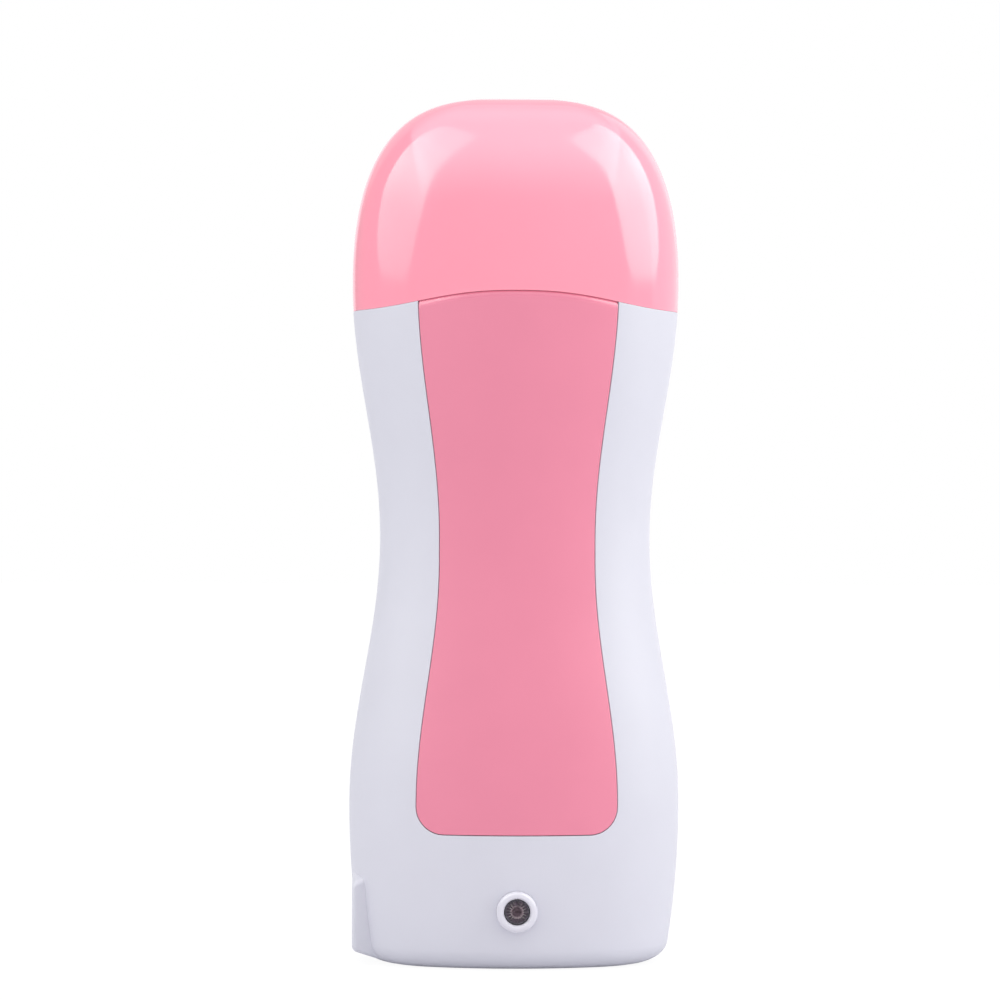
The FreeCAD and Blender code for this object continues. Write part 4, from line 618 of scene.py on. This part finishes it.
def relief(material, factor, depth):
    """Fine relief, with its depth in metres."""
    bump = add_node(material.node_tree, "ShaderNodeBump")
    set_sockets(bump, Distance=depth)
    material.node_tree.links.new(factor, bump.inputs["Height"])
    feed(material, "Normal", bump.outputs["Normal"])


def moulded(name, colour, roughness, spread=0.012, cloud=0.014, grain=0.00035,
            grain_depth=2e-6, **sockets):
    """Moulded plastic: cloudy tone, varied gloss and a fine mould grain."""
    material, shader, place = new_material(name)
    clouds = noise(material, place, cloud)
    tone(material, clouds, colour, spread)
    vary_roughness(material, clouds, roughness, roughness * GLOSS_DRIFT)
    relief(material, noise(material, place, grain, 2.0), grain_depth)
    set_sockets(shader, **sockets)
    return material


print("roughness drifts by this share in plastic and metal:", GLOSS_DRIFT, STREAK_DRIFT)

# %% [markdown]
# ## Finishing a piece
# A piece is modelled in millimetres and scaled to metres in its mesh. Scaling only the object
# would leave its bumps at the wrong size. It is shaded smooth up to real edges and attached to
# the body that carries it, and the imported part it stands for is hidden.

# %% Finishing helper
MM = 0.001
SMOOTH_ANGLE = math.radians(35)
MERGE_REACH = 0.0005


def tidy_faces(piece):
    """Merge doubled vertices and turn all faces outward."""
    pick(piece, "VERT", lambda vertex: True)
    bpy.ops.mesh.remove_doubles(threshold=MERGE_REACH)
    bpy.ops.mesh.normals_make_consistent(inside=False)
    done()


def finish_piece(piece, body, material, part):
    """Bring a modelled piece to metres, shade it and attach it."""
    only(piece)
    piece.scale = (MM, MM, MM)
    bpy.ops.object.transform_apply()
    bpy.ops.object.shade_smooth_by_angle(angle=SMOOTH_ANGLE)
    piece.data.materials.clear()
    piece.data.materials.append(material)
    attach(piece, body)
    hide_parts(part)
    size = [round(value / MM, 1) for value in piece.dimensions]
    print(piece.name, "- faces:", len(piece.data.polygons), "- size in mm:", size)


def join_into(target, *others):
    """Join other objects into the first one."""
    only(target)
    for other in others:
        other.select_set(True)
    bpy.ops.object.join()


def cut_out(piece, cutter, keep="DIFFERENCE"):
    """Cut one closed mesh with another and remove the cutter."""
    apply_modifier(piece, "BOOLEAN", object=cutter, operation=keep, solver="EXACT")
    bpy.data.objects.remove(cutter)


print("one millimetre in metres:", MM)

# %% [markdown]
# ## The white shells
# The grip is moulded in two halves that meet at the sides. Both start as one wrapped grid with
# openings for the panel and the label recess. The foot is closed, the grid is bisected, and
# Solidify gives the wall its thickness inward. Cutting a smaller form out of a solid one would
# do, with less even faces. A small bevel rounds every rim.

# %% Shell halves
SHELL_WALL, RIM_ROUND = 2.2, 0.13
BACK_MIDDLE = len(back_columns) // 2
FRONT_MIDDLE = len(back_columns) - 1 + len(front_columns) // 2
panel_row = grip_rows.index(next(row for row in grip_rows
                                 if abs(row[0](0) - PANEL_FOOT) < NEAR))
label_rows = [index for index, row in enumerate(grip_rows)
              if LABEL_FOOT - NEAR <= row[0](0) < LABEL_TOP - NEAR]


def in_opening(row, column):
    """Whether a grid face lies in the panel opening or the label opening."""
    front = abs(column + 0.5 - FRONT_MIDDLE) < MIDDLE_COLUMNS
    rear = abs(column + 0.5 - BACK_MIDDLE) < MIDDLE_COLUMNS
    return (front and row >= panel_row) or (rear and row in label_rows)


def shell_half(name, front):
    """One half of the grip as a closed wall."""
    half = wrap_grid(name, grip_columns, grip_rows, in_opening)
    fill_ring(half, lambda end: end.z < NEAR)
    tidy_faces(half)
    bisect_middle(half, front, clear_inner=True)
    thicken(half, SHELL_WALL)
    return half


def round_rims(piece, width, segments=2, angle=50):
    """Round every edge that is sharper than an angle."""
    apply_modifier(piece, "BEVEL", width=width, segments=segments, limit_method="ANGLE",
                   angle_limit=math.radians(angle), use_clamp_overlap=True)


front_half = shell_half("housing_front", -1)
rear_half = shell_half("housing_rear", 1)
for half in (front_half, rear_half):
    round_rims(half, RIM_ROUND)
    print(half.name, "faces:", len(half.data.polygons))

# %% [markdown]
# ## Seats in the openings
# The panel and the bare label recess are shallow, so each opening needs a floor: a smaller
# grid on the same form, drawn in by the depth of the recess. Pushing faces of the shell inward
# would give the same floor, but stretched walls.

# %% Seats
PANEL_SEAT, LABEL_SEAT = 1.2, 0.4
SEAT_WALL, SEAT_LAP = 0.9, 0.3


def middle_columns(front, edge):
    """Columns over the middle between two edges, each edge with a holding column."""
    part = []
    for side in (-front, front):
        inner = inner_columns(side, front, edge)
        inner.insert(1, (side, front, edge, lambda stop, whole: stop + HOLD))
        part.append(inner)
    return part[1] + part[0][-2::-1]


def panel_heights(gap):
    """Row heights of the panel, from its lower edge up to the wave."""
    return corner_heights(gap) + [z for z in heights if z > PANEL_FOOT + PANEL_CORNER + 1]


def seat(name, columns, rows):
    """A floor for an opening, as a closed plate."""
    plate = wrap_grid(name, columns, rows)
    thicken(plate, SEAT_WALL)
    tidy_faces(plate)
    print(name, "faces:", len(plate.data.polygons))
    return plate


seat_columns = middle_columns(-1, lambda z: panel_edge(z) + SEAT_LAP)
seat_rows = [level(PANEL_FOOT - SEAT_LAP, PANEL_SEAT)]
seat_rows += [level(z, PANEL_SEAT) for z in panel_heights(0)]
seat_rows += [wave(share, WAVE_START, 0, PANEL_SEAT) for share in split(WAVE_STEPS)[1:]]
panel_seat = seat("panel_seat", seat_columns, seat_rows)
label_columns = middle_columns(1, lambda z: LABEL_HALF + SEAT_LAP)
label_seat_rows = [level(z, LABEL_SEAT)
                   for z in split(LABEL_STEPS, LABEL_FOOT - SEAT_LAP, LABEL_TOP + SEAT_LAP)]
label_seat = seat("label_seat", label_columns, label_seat_rows)

# %% [markdown]
# ## Holes in the shells
# Holes are cut with closed shapes: one for the lamp in front, four for the screws in the rear,
# and a slot on the left for the power inlet. Faces could be deleted and bridged instead, but a
# cut keeps a hole round on a curved wall. Tubes go on inside the screw holes, trimmed by a
# copy of the form so that none shows outside.

# %% Helpers for cutters
INLET_HEIGHT, SLOT_HALF, SLOT_HEIGHT, SLOT_CORNER = 11.0, 10.1, 6.0, 3.1
SLOT_OUTSIDE, SLOT_INSIDE, SLOT_GAP = -50, -18, 0.05
ROUND_SIDES = 48


def rod(name, radius, start, end, x, z):
    """A closed cylinder along the depth."""
    piece = new_piece(name, bpy.ops.mesh.primitive_cylinder_add, vertices=ROUND_SIDES,
                      radius=radius, depth=end - start, location=(x, (start + end) / 2, z),
                      rotation=(math.pi / 2, 0, 0))
    bpy.ops.object.transform_apply()
    return piece


def slot_cutter():
    """A block with round corners along the width, at the height of the inlet."""
    block = new_piece(
        "slot_cutter", bpy.ops.mesh.primitive_cube_add, size=2,
        location=((SLOT_OUTSIDE + SLOT_INSIDE) / 2, 0, INLET_HEIGHT),
        scale=((SLOT_INSIDE - SLOT_OUTSIDE) / 2, SLOT_HALF + SLOT_GAP, SLOT_HEIGHT + SLOT_GAP))
    bpy.ops.object.transform_apply()
    pick(block, "EDGE", lambda edge: abs(ends(block, edge)[0].x - ends(block, edge)[1].x) > 1)
    bpy.ops.mesh.bevel(offset=SLOT_CORNER + SLOT_GAP, segments=8, affect="EDGES")
    done()
    return block


print("inlet slot in mm:", 2 * SLOT_HALF, "by", 2 * SLOT_HEIGHT)

# %% Lamp hole, screw holes and inlet slot
LAMP_HEIGHT, LAMP_HOLE, LAMP_CUT = 13.5, 4.6, (-40, -14)
SCREW_PLACES = [(side * x, z) for side in (-1, 1) for x, z in ((29.2, 132.996), (27.0, 30.996))]
SCREW_SEAT, SCREW_HOLE, CUT_END, CUT_DEEPER = 8.0, 2.7, 40, 0.15

cut_out(front_half, rod("lamp_cutter", LAMP_HOLE, *LAMP_CUT, 0, LAMP_HEIGHT))
for x, z in SCREW_PLACES:
    cut_out(rear_half, rod("screw_cutter", SCREW_HOLE, SCREW_SEAT - CUT_DEEPER, CUT_END, x, z))
for half in (front_half, rear_half):
    cut_out(half, slot_cutter())
    print(half.name, "faces:", len(half.data.polygons))

# %% Tubes of the screw holes
TUBE_OUT, TUBE_START, TUBE_END = 3.8, 0.4, 30
ROOM_STEPS, ROOM_REACH, ROOM_INSET, ROOM_LOWEST = 16, 8, 0.5, 2


def whole_round(steps):
    """Columns all the way round the form at even distances."""
    shares = split(steps)
    quarters = ((1, 1, shares), (-1, 1, shares[-2::-1]), (-1, -1, shares[1:]),
                (1, -1, shares[-2::-1]))
    return [(side, front, label_edge, lambda stop, whole, share=share: whole * share)
            for side, front, part in quarters for share in part]


def screw_tube(x, z):
    """A tube round one screw hole, trimmed inside the form."""
    tube = rod("screw_tube", TUBE_OUT, TUBE_START, TUBE_END, x, z)
    room_heights = (max(z - ROOM_REACH, ROOM_LOWEST), z, z + ROOM_REACH)
    room = wrap_grid("tube_room", whole_round(ROOM_STEPS),
                     [level(height, ROOM_INSET) for height in room_heights])
    for edge_z in (room.data.vertices[0].co.z, room.data.vertices[-1].co.z):
        fill_ring(room, lambda end: abs(end.z - edge_z) < NEAR)
    tidy_faces(room)
    cut_out(tube, room, "INTERSECT")
    cut_out(tube, rod("screw_cutter", SCREW_HOLE, SCREW_SEAT, CUT_END, x, z))
    return tube


join_into(rear_half, label_seat, *[screw_tube(x, z) for x, z in SCREW_PLACES])
join_into(front_half, panel_seat)
print("screw tubes at x and z in mm:", SCREW_PLACES)

# %% [markdown]
# ## The boss of the power inlet
# Low on the left the shells swell into a flat-faced block that holds the inlet. It could be
# pulled out of the shell, but a block of its own keeps its planes flat. It starts as a cube.
# Its inner face is made narrower and taller, and its top is raised to a low ridge that runs
# out in the swell of the hip. It is bisected, so that the parting line runs over it too.

# %% Inlet boss
BOSS_FACE, BOSS_ROOT = -36.68, -28.0
BOSS_HALF, BOSS_LOW, BOSS_HIGH = 12.0, 3.2, 18.2
BOSS_DRAFT, BOSS_RISE, BOSS_DROP, BOSS_RIDGE, BOSS_ROUND = -2.4, 4.0, 3.0, 4.0, 1.1


def inlet_boss(front):
    """Half of the boss, with its slot."""
    block = new_piece(
        "inlet_boss", bpy.ops.mesh.primitive_cube_add, size=2,
        location=((BOSS_FACE + BOSS_ROOT) / 2, 0, (BOSS_LOW + BOSS_HIGH) / 2),
        scale=((BOSS_ROOT - BOSS_FACE) / 2, BOSS_HALF, (BOSS_HIGH - BOSS_LOW) / 2))
    bpy.ops.object.transform_apply()
    pick(block, "FACE", lambda face: face.normal.x > 0.9)
    bpy.ops.transform.resize(value=(1, (BOSS_HALF + BOSS_DRAFT) / BOSS_HALF, 1))
    done()
    for upper, shift in ((True, BOSS_RISE), (False, -BOSS_DROP)):
        pick(block, "VERT", lambda vertex: vertex.co.x > BOSS_ROOT - 1
             and (vertex.co.z > INLET_HEIGHT) == upper)
        bpy.ops.transform.translate(value=(0, 0, shift))
        done()
    bisect_middle(block)
    pick(block, "VERT", lambda vertex: abs(vertex.co.y) < NEAR and vertex.co.z > INLET_HEIGHT)
    bpy.ops.transform.translate(value=(0, 0, BOSS_RIDGE))
    done()
    apply_modifier(block, "BEVEL", width=BOSS_ROUND, segments=5, limit_method="ANGLE",
                   angle_limit=math.radians(20))
    cut_out(block, slot_cutter())
    bisect_middle(block, front, clear_inner=True, use_fill=True)
    return block


join_into(front_half, inlet_boss(-1))
join_into(rear_half, inlet_boss(1))
print("boss in mm:", BOSS_FACE, "to", BOSS_ROOT)

# %% [markdown]
# ## Finish of the shells
# The shells are white plastic with a satin surface. A subsurface shader could show how light
# enters it, but on a thick pale wall it looks the same and is slower. A low specular level
# keeps the satin from looking wet.

# %% Finish of the shells
housing_white = moulded("housing_white", (0.634, 0.633, 0.706), 0.50,
                        Specular_IOR_Level=0.36)
finish_piece(front_half, "housing", housing_white, "front_shell")
finish_piece(rear_half, "housing", housing_white, "rear_shell")

# %% [markdown]
# ## The front panel
# The panel lies flush in its opening, a hair narrower all round. It could be cut out of the
# shell's surface, but a grid of its own gives clean edges. Its rounded rim catches a thin line
# of light, and its last rows turn down under the seam as a shallow lip.

# %% Panel
PANEL_WALL, PANEL_ROUND = 1.15, 0.22
PANEL_LIP = ((-1.7, 0.0), (-1.25, 0.04), (-0.8, 0.14), (-0.12, 0.46), (0.0, 0.52))

panel_columns = middle_columns(-1, lambda z: panel_edge(z, PANEL_GAP))
panel_rows = [level(z) for z in panel_heights(PANEL_GAP)]
panel_rows += wave_rows[:-2]
panel_rows += [wave(1, WAVE_START, lift, inset) for lift, inset in PANEL_LIP]
panel = wrap_grid("panel_inlay", panel_columns, panel_rows)
tidy_faces(panel)
thicken(panel, PANEL_WALL)
round_rims(panel, PANEL_ROUND, 3)
print("panel rows:", len(panel_rows))

# %% [markdown]
# ## Finish of the panel
# The panel is pink satin plastic, and its lip is polished. The lip could be a second material
# on its faces, but a blend is softer: the height of a point, corrected for the curve of the
# seam, tells how far it lies in the lip, and the roughness follows.

# %% Finish of the panel
LIP_CURVE, LIP_BAND, LIP_ROUGHNESS = 4.4, (0.1495, 0.1503), 0.2

panel_pink = moulded("panel_pink", (0.772, 0.231, 0.336), 0.44, grain_depth=3e-6)
panel_tree = panel_pink.node_tree
satin = panel_tree.nodes["Principled BSDF"].inputs["Roughness"].links[0].from_socket
spot = add_node(panel_tree, "ShaderNodeSeparateXYZ",
                panel_tree.nodes["Texture Coordinate"].outputs["Object"])
squared = calculate(panel_tree, "MULTIPLY", spot.outputs["X"], spot.outputs["X"])
risen = calculate(panel_tree, "MULTIPLY_ADD", squared, LIP_CURVE, spot.outputs["Z"])
polished = add_node(panel_tree, "ShaderNodeMix", remap(panel_tree, risen, LIP_BAND))
polished.inputs["B"].default_value = LIP_ROUGHNESS
panel_tree.links.new(satin, polished.inputs["A"])
feed(panel_pink, "Roughness", polished.outputs["Result"])
finish_piece(panel, "housing", panel_pink, "front_panel")

# %% [markdown]
# ## The lamp
# The indicator lamp is a raised white ring with a dark lens in it. Both are turned as on a
# lathe: one point is drawn out along the profile, and the profile is spun round the axis. A
# torus and a sphere could stand in for them, but a profile holds the small steps that catch
# the light.

# %% Lathe helper
SPIN_STEPS = 96


def turned(name, profile, centre):
    """A profile of (radius, place along the depth) points, spun round the depth."""
    points = [(centre[0], centre[1] + reach, centre[2] + radius) for radius, reach in profile]
    piece = new_piece(name, bpy.ops.mesh.primitive_plane_add, size=0.1)
    bpy.ops.object.mode_set(mode="EDIT")
    bpy.ops.mesh.select_mode(type="VERT")
    bpy.ops.mesh.merge(type="CENTER")
    bpy.ops.transform.translate(value=points[0])
    for last, point in zip(points, points[1:]):
        step = [b - a for a, b in zip(last, point)]
        bpy.ops.mesh.extrude_region_move(TRANSFORM_OT_translate={"value": step})
    bpy.ops.mesh.select_all(action="SELECT")
    bpy.ops.mesh.spin(steps=SPIN_STEPS, angle=2 * math.pi, center=centre, axis=(0, 1, 0))
    done()
    tidy_faces(piece)
    return piece


def arc(middle, radius, start, end, steps):
    """Points of an arc in a profile, with its angles in degrees."""
    return [(middle[0] + radius * math.cos(math.radians(angle)),
             middle[1] + radius * math.sin(math.radians(angle)))
            for angle in split(steps, start, end)]


print("steps round the axis:", SPIN_STEPS)

# %% Lamp ring
RING_FACE, RING_OUT, RING_BORE = -27.63, 4.57, 2.93
RING_LIP, RING_STEP, RING_BEAD, RING_FILLET = 1.05, 0.28, 0.2, 0.3
BEAD_DEPTH, GROOVE_DEPTH, GROOVE_SLOPE = 0.62, 0.4, 0.1
FLANGE_FRONT, FLANGE_BACK, FLANGE_OUT = -22.95, -21.75, 6.15

ring_profile = [(RING_BORE, FLANGE_BACK), (RING_BORE, RING_FACE + BEAD_DEPTH)]
ring_profile += arc((RING_BORE + RING_STEP, RING_FACE + BEAD_DEPTH), RING_BEAD, 180, 270, 3)
ring_profile += [(RING_BORE + RING_STEP + GROOVE_SLOPE, RING_FACE + GROOVE_DEPTH)]
ring_profile += arc((RING_OUT - RING_LIP - GROOVE_SLOPE, RING_FACE + RING_FILLET), RING_FILLET,
                    190, 270, 4)
ring_profile += arc((RING_OUT - RING_LIP, RING_FACE + RING_LIP), RING_LIP, 270, 360, 8)
ring_profile += [(RING_OUT, FLANGE_FRONT), (FLANGE_OUT, FLANGE_FRONT), (FLANGE_OUT, FLANGE_BACK),
                 (RING_BORE, FLANGE_BACK)]
lamp_ring = turned("lamp_ring", ring_profile, (0, 0, LAMP_HEIGHT))
ring_white = moulded("lamp_ring_white", (0.70, 0.69, 0.765), 0.22, grain_depth=1e-6)
finish_piece(lamp_ring, "housing", ring_white, "lamp_bezel")

# %% Lens
LENS_OUT, LENS_BACK, LENS_FACE = 2.88, -21.2, -26.6
LENS_PROFILE = ((0.0, 0.32), (0.55, 0.36), (0.95, 0.44), (1.06, 0.42), (1.16, 0.34),
                (1.28, 0.16), (1.38, 0.05), (1.5, 0.0), (1.9, 0.04), (2.35, 0.08),
                (2.5, 0.12), (2.66, 0.26), (2.8, 0.32), (LENS_OUT, 0.44))

lens_profile = [(radius, LENS_FACE + depth) for radius, depth in LENS_PROFILE]
lens_profile += [(LENS_OUT, LENS_BACK), (0.0, LENS_BACK)]
lens = turned("lamp_window", lens_profile, (0, 0, LAMP_HEIGHT))
print("lens profile points:", len(lens_profile))

# %% [markdown]
# ## Finish of the lens
# The lens is smoky plastic with fine flutes behind it. Real flutes in clear plastic would need
# very small faces. Here the distance from the middle picks the colour of each ring: the dark
# rings are the smoky tone, and the two lighter rings are painted highlights on the wall of the
# dimple and near the rim. The angle gives the relief of the flutes, and fine noise paints the
# specks of light and shade they throw.

# %% Finish of the lens
FLUTES, FLUTE_DEPTH = 18, 0.00007
SPECK_SIZE, SPECK_GREY, SPECK_SPREAD = 0.0006, (0.62, 0.62, 0.62), 0.6
# Dark stops are the smoky tone; the light stops at 1.18 and 1.36 mm and at 2.62 mm are painted
# highlights.
LENS_TONES_AND_PAINTED_RINGS = ((0.0, (0.20, 0.135, 0.165)), (1.0, (0.16, 0.105, 0.14)),
              (1.18, (0.55, 0.43, 0.48)), (1.36, (0.45, 0.36, 0.40)),
              (1.52, (0.060, 0.032, 0.055)), (2.30, (0.080, 0.050, 0.082)),
              (2.62, (0.20, 0.19, 0.22)), (2.84, (0.05, 0.045, 0.05)))

lens_smoke, lens_shader, lens_place = new_material("lens_smoke")
lens_tree = lens_smoke.node_tree
set_sockets(lens_shader, Roughness=0.14, IOR=1.6)
flat = add_node(lens_tree, "ShaderNodeMapping", lens_place)
set_sockets(flat, Location=(0, 0, -LAMP_HEIGHT * MM), Scale=(1, 0, 1))
upright = add_node(lens_tree, "ShaderNodeMapping", flat.outputs[0])
set_sockets(upright, Rotation=(math.pi / 2, 0, 0))
fan = add_node(lens_tree, "ShaderNodeTexGradient", upright.outputs[0], gradient_type="RADIAL")
waves = calculate(lens_tree, "MULTIPLY", fan.outputs["Fac"], 2 * math.pi * FLUTES)
relief(lens_smoke, calculate(lens_tree, "SINE", waves), FLUTE_DEPTH)
radius = add_node(lens_tree, "ShaderNodeVectorMath", flat.outputs[0], operation="LENGTH")
tones_and_painted_rings = add_node(lens_tree, "ShaderNodeValToRGB",
                 remap(lens_tree, radius.outputs["Value"], (0, LENS_OUT * MM)))
for reach, _ in LENS_TONES_AND_PAINTED_RINGS[2:]:
    tones_and_painted_rings.color_ramp.elements.new(reach / LENS_OUT)
for element, (reach, colour) in zip(tones_and_painted_rings.color_ramp.elements, LENS_TONES_AND_PAINTED_RINGS):
    element.position = reach / LENS_OUT
    element.color = (*colour, 1)
# Fine noise darkens the rings in specks: painted specks of light and shade from the flutes.
painted_specks = tone(lens_smoke, noise(lens_smoke, lens_place, SPECK_SIZE, 4.0), SPECK_GREY,
              SPECK_SPREAD)
speckled = add_node(lens_tree, "ShaderNodeMix", 1.0, data_type="RGBA", blend_type="MULTIPLY")
lens_tree.links.new(tones_and_painted_rings.outputs["Color"], speckled.inputs["A"])
lens_tree.links.new(painted_specks, speckled.inputs["B"])
feed(lens_smoke, "Base Color", speckled.outputs["Result"])
finish_piece(lens, "housing", lens_smoke, "lamp_lens")

# %% [markdown]
# ## The cap
# The cap is one glossy dome. Its rows follow the wave of the seam and then step up at even
# distances, so that the faces stay of one size where the top flattens. A stretched sphere
# would be quicker, but with the wrong profile. A gloss shows every ripple, so there is hardly
# any grain.

# %% Cap
CAP_WALL, CAP_ROUND, CAP_COLUMNS = 2.0, 0.12, 36
CAP_WAVE_END, CAP_WAVE_STEPS = 158.0, 6
OUTLINE_STEP, ANGLE_STEPS = 1.5, 4000


def dome_heights(start, step):
    """Heights up the dome at even distances along its outline."""
    found, walked, last = [], 0.0, None
    for angle in split(ANGLE_STEPS, 0, math.pi / 2)[:-1]:
        z = SHOULDER + DOME_RISE * math.sin(angle)
        point = (half_sizes(z)[0], z)
        if last:
            walked += math.dist(point, last)
        last = point
        if z > start and walked >= step:
            found.append(z)
            walked = 0.0
    return found


cap_rows = [wave(1, CAP_WAVE_END, SEAM_GAP), wave(1, CAP_WAVE_END, SEAM_GAP + HOLD)]
cap_rows += [wave(share, CAP_WAVE_END, SEAM_GAP + HOLD)
             for share in split(CAP_WAVE_STEPS, 1, 0)[1:]]
cap_rows += [level(z) for z in dome_heights(CAP_WAVE_END + 1, OUTLINE_STEP)]
cap = wrap_grid("cap_dome", whole_round(CAP_COLUMNS), cap_rows)
cap_top = max(vertex.co.z for vertex in cap.data.vertices)
fill_ring(cap, lambda end: end.z > cap_top - NEAR)
tidy_faces(cap)
thicken(cap, CAP_WALL)
round_rims(cap, CAP_ROUND, 3, 60)
cap_pink = moulded("cap_pink", (0.985, 0.33, 0.432), 0.115, grain_depth=4e-7,
                   IOR=1.56)
finish_piece(cap, "cap", cap_pink, "cap")

# %% [markdown]
# ## Finishes of the parts inside
# The parts that stay as they were built get a finish by what they are made of. One grey for
# all would do while the cap is on, but not with it off. Metals get fine streaks from a noise
# that is stretched along the direction of rolling.

# %% Metals
STREAK_SIZE, STREAK_DEPTH, STREAK_SPREAD = 0.0004, 0.000002, 0.06


def metal(name, colour, roughness, stretch=(1, 1, 0.04)):
    """Metal with fine streaks along the short direction of the stretch."""
    material, shader, place = new_material(name)
    set_sockets(shader, Metallic=1.0)
    streaks = noise(material, place, STREAK_SIZE, 4.0, stretch)
    tone(material, streaks, colour, STREAK_SPREAD)
    vary_roughness(material, streaks, roughness, roughness * STREAK_DRIFT)
    relief(material, streaks, STREAK_DEPTH)
    return material


finishes = {
    "contact_pins": metal("contact_nickel", (0.80, 0.73, 0.58), 0.22, (0.05, 1, 1)),
    "shell_screws": metal("screw_zinc", (0.60, 0.61, 0.63), 0.30, (1, 0.1, 1)),
    "heat_tray": metal("tray_aluminium", (0.80, 0.81, 0.82), 0.34),
    "ptc_clip": metal("clip_steel", (0.56, 0.57, 0.60), 0.24),
    "thermal_fuse": metal("fuse_case", (0.74, 0.70, 0.62), 0.28, (0.1, 1, 1)),
    "roller_pin": metal("pin_steel", (0.66, 0.67, 0.69), 0.16, (0.05, 1, 1)),
}
finishes["tray_screws"] = finishes["shell_screws"]
finishes["clip_rivets"] = finishes["heat_tray"]
print("parts of metal:", len(finishes))

# %% [markdown]
# ## Plastics and the rest
# Most other parts are moulded, so the same helper serves them. Each could have a shader of
# its own, but the parts are small. Transmission makes the tank and the neon lamp see-through,
# and scattered light makes the wax look like honey.

# %% Plastics, ceramic, film and board
finishes.update({
    "neck_collar": moulded("neck_white", (0.70, 0.70, 0.75), 0.40),
    "power_inlet": moulded("inlet_black", (0.020, 0.020, 0.022), 0.42, 0.10,
                           grain=0.0005, grain_depth=12e-6),
    "bay_floor": moulded("floor_plastic", (0.56, 0.55, 0.52), 0.50, 0.04,
                         grain_depth=6e-6),
    "ptc_heater": moulded("heater_ceramic", (0.62, 0.58, 0.52), 0.62, 0.16, cloud=0.0012,
                          grain=0.0002, grain_depth=12e-6),
    "insulation_sheet": moulded("insulation_film", (0.62, 0.27, 0.035), 0.20, 0.10,
                                cloud=0.006),
    "thermostat": moulded("thermostat_body", (0.030, 0.028, 0.026), 0.36, 0.12),
    "lamp_board": moulded("board_green", (0.05, 0.20, 0.08), 0.28, 0.18, cloud=0.0025,
                          grain=0.0006, grain_depth=8e-6),
    "lamp_resistor": moulded("resistor_body", (0.30, 0.50, 0.60), 0.40, 0.12,
                             cloud=0.0015),
    "fuse_lead": moulded("lead_white", (0.78, 0.77, 0.74), 0.42, 0.05, cloud=0.004),
    "neutral_lead": moulded("lead_blue", (0.03, 0.12, 0.50), 0.40, 0.10, cloud=0.004),
    "live_lead": moulded("lead_brown", (0.17, 0.065, 0.025), 0.40, 0.12, cloud=0.004),
    "cartridge_head": moulded("head_white", (0.65, 0.65, 0.665), 0.32, 0.02),
    "roller": moulded("roller_plastic", (0.70, 0.69, 0.67), 0.16, 0.02,
                      grain_depth=6e-7),
    "cartridge_tank": moulded("tank_plastic", (0.97, 0.93, 0.86), 0.10, 0.02,
                              Transmission_Weight=0.92, IOR=1.49),
    "wax_fill": moulded("wax_honey", (0.80, 0.36, 0.05), 0.30, 0.07, cloud=0.010,
                        Subsurface_Weight=0.4),
    "neon_lamp": moulded("neon_glass", (0.95, 0.72, 0.55), 0.05, 0.06, cloud=0.002,
                         Transmission_Weight=0.9, IOR=1.46),
})
finishes["lamp_leads"] = finishes["fuse_lead"]
for part, finish in finishes.items():
    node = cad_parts[part]
    node.data.materials.clear()
    node.data.materials.append(finish)
print("parts with a finish of their own:", len(finishes))
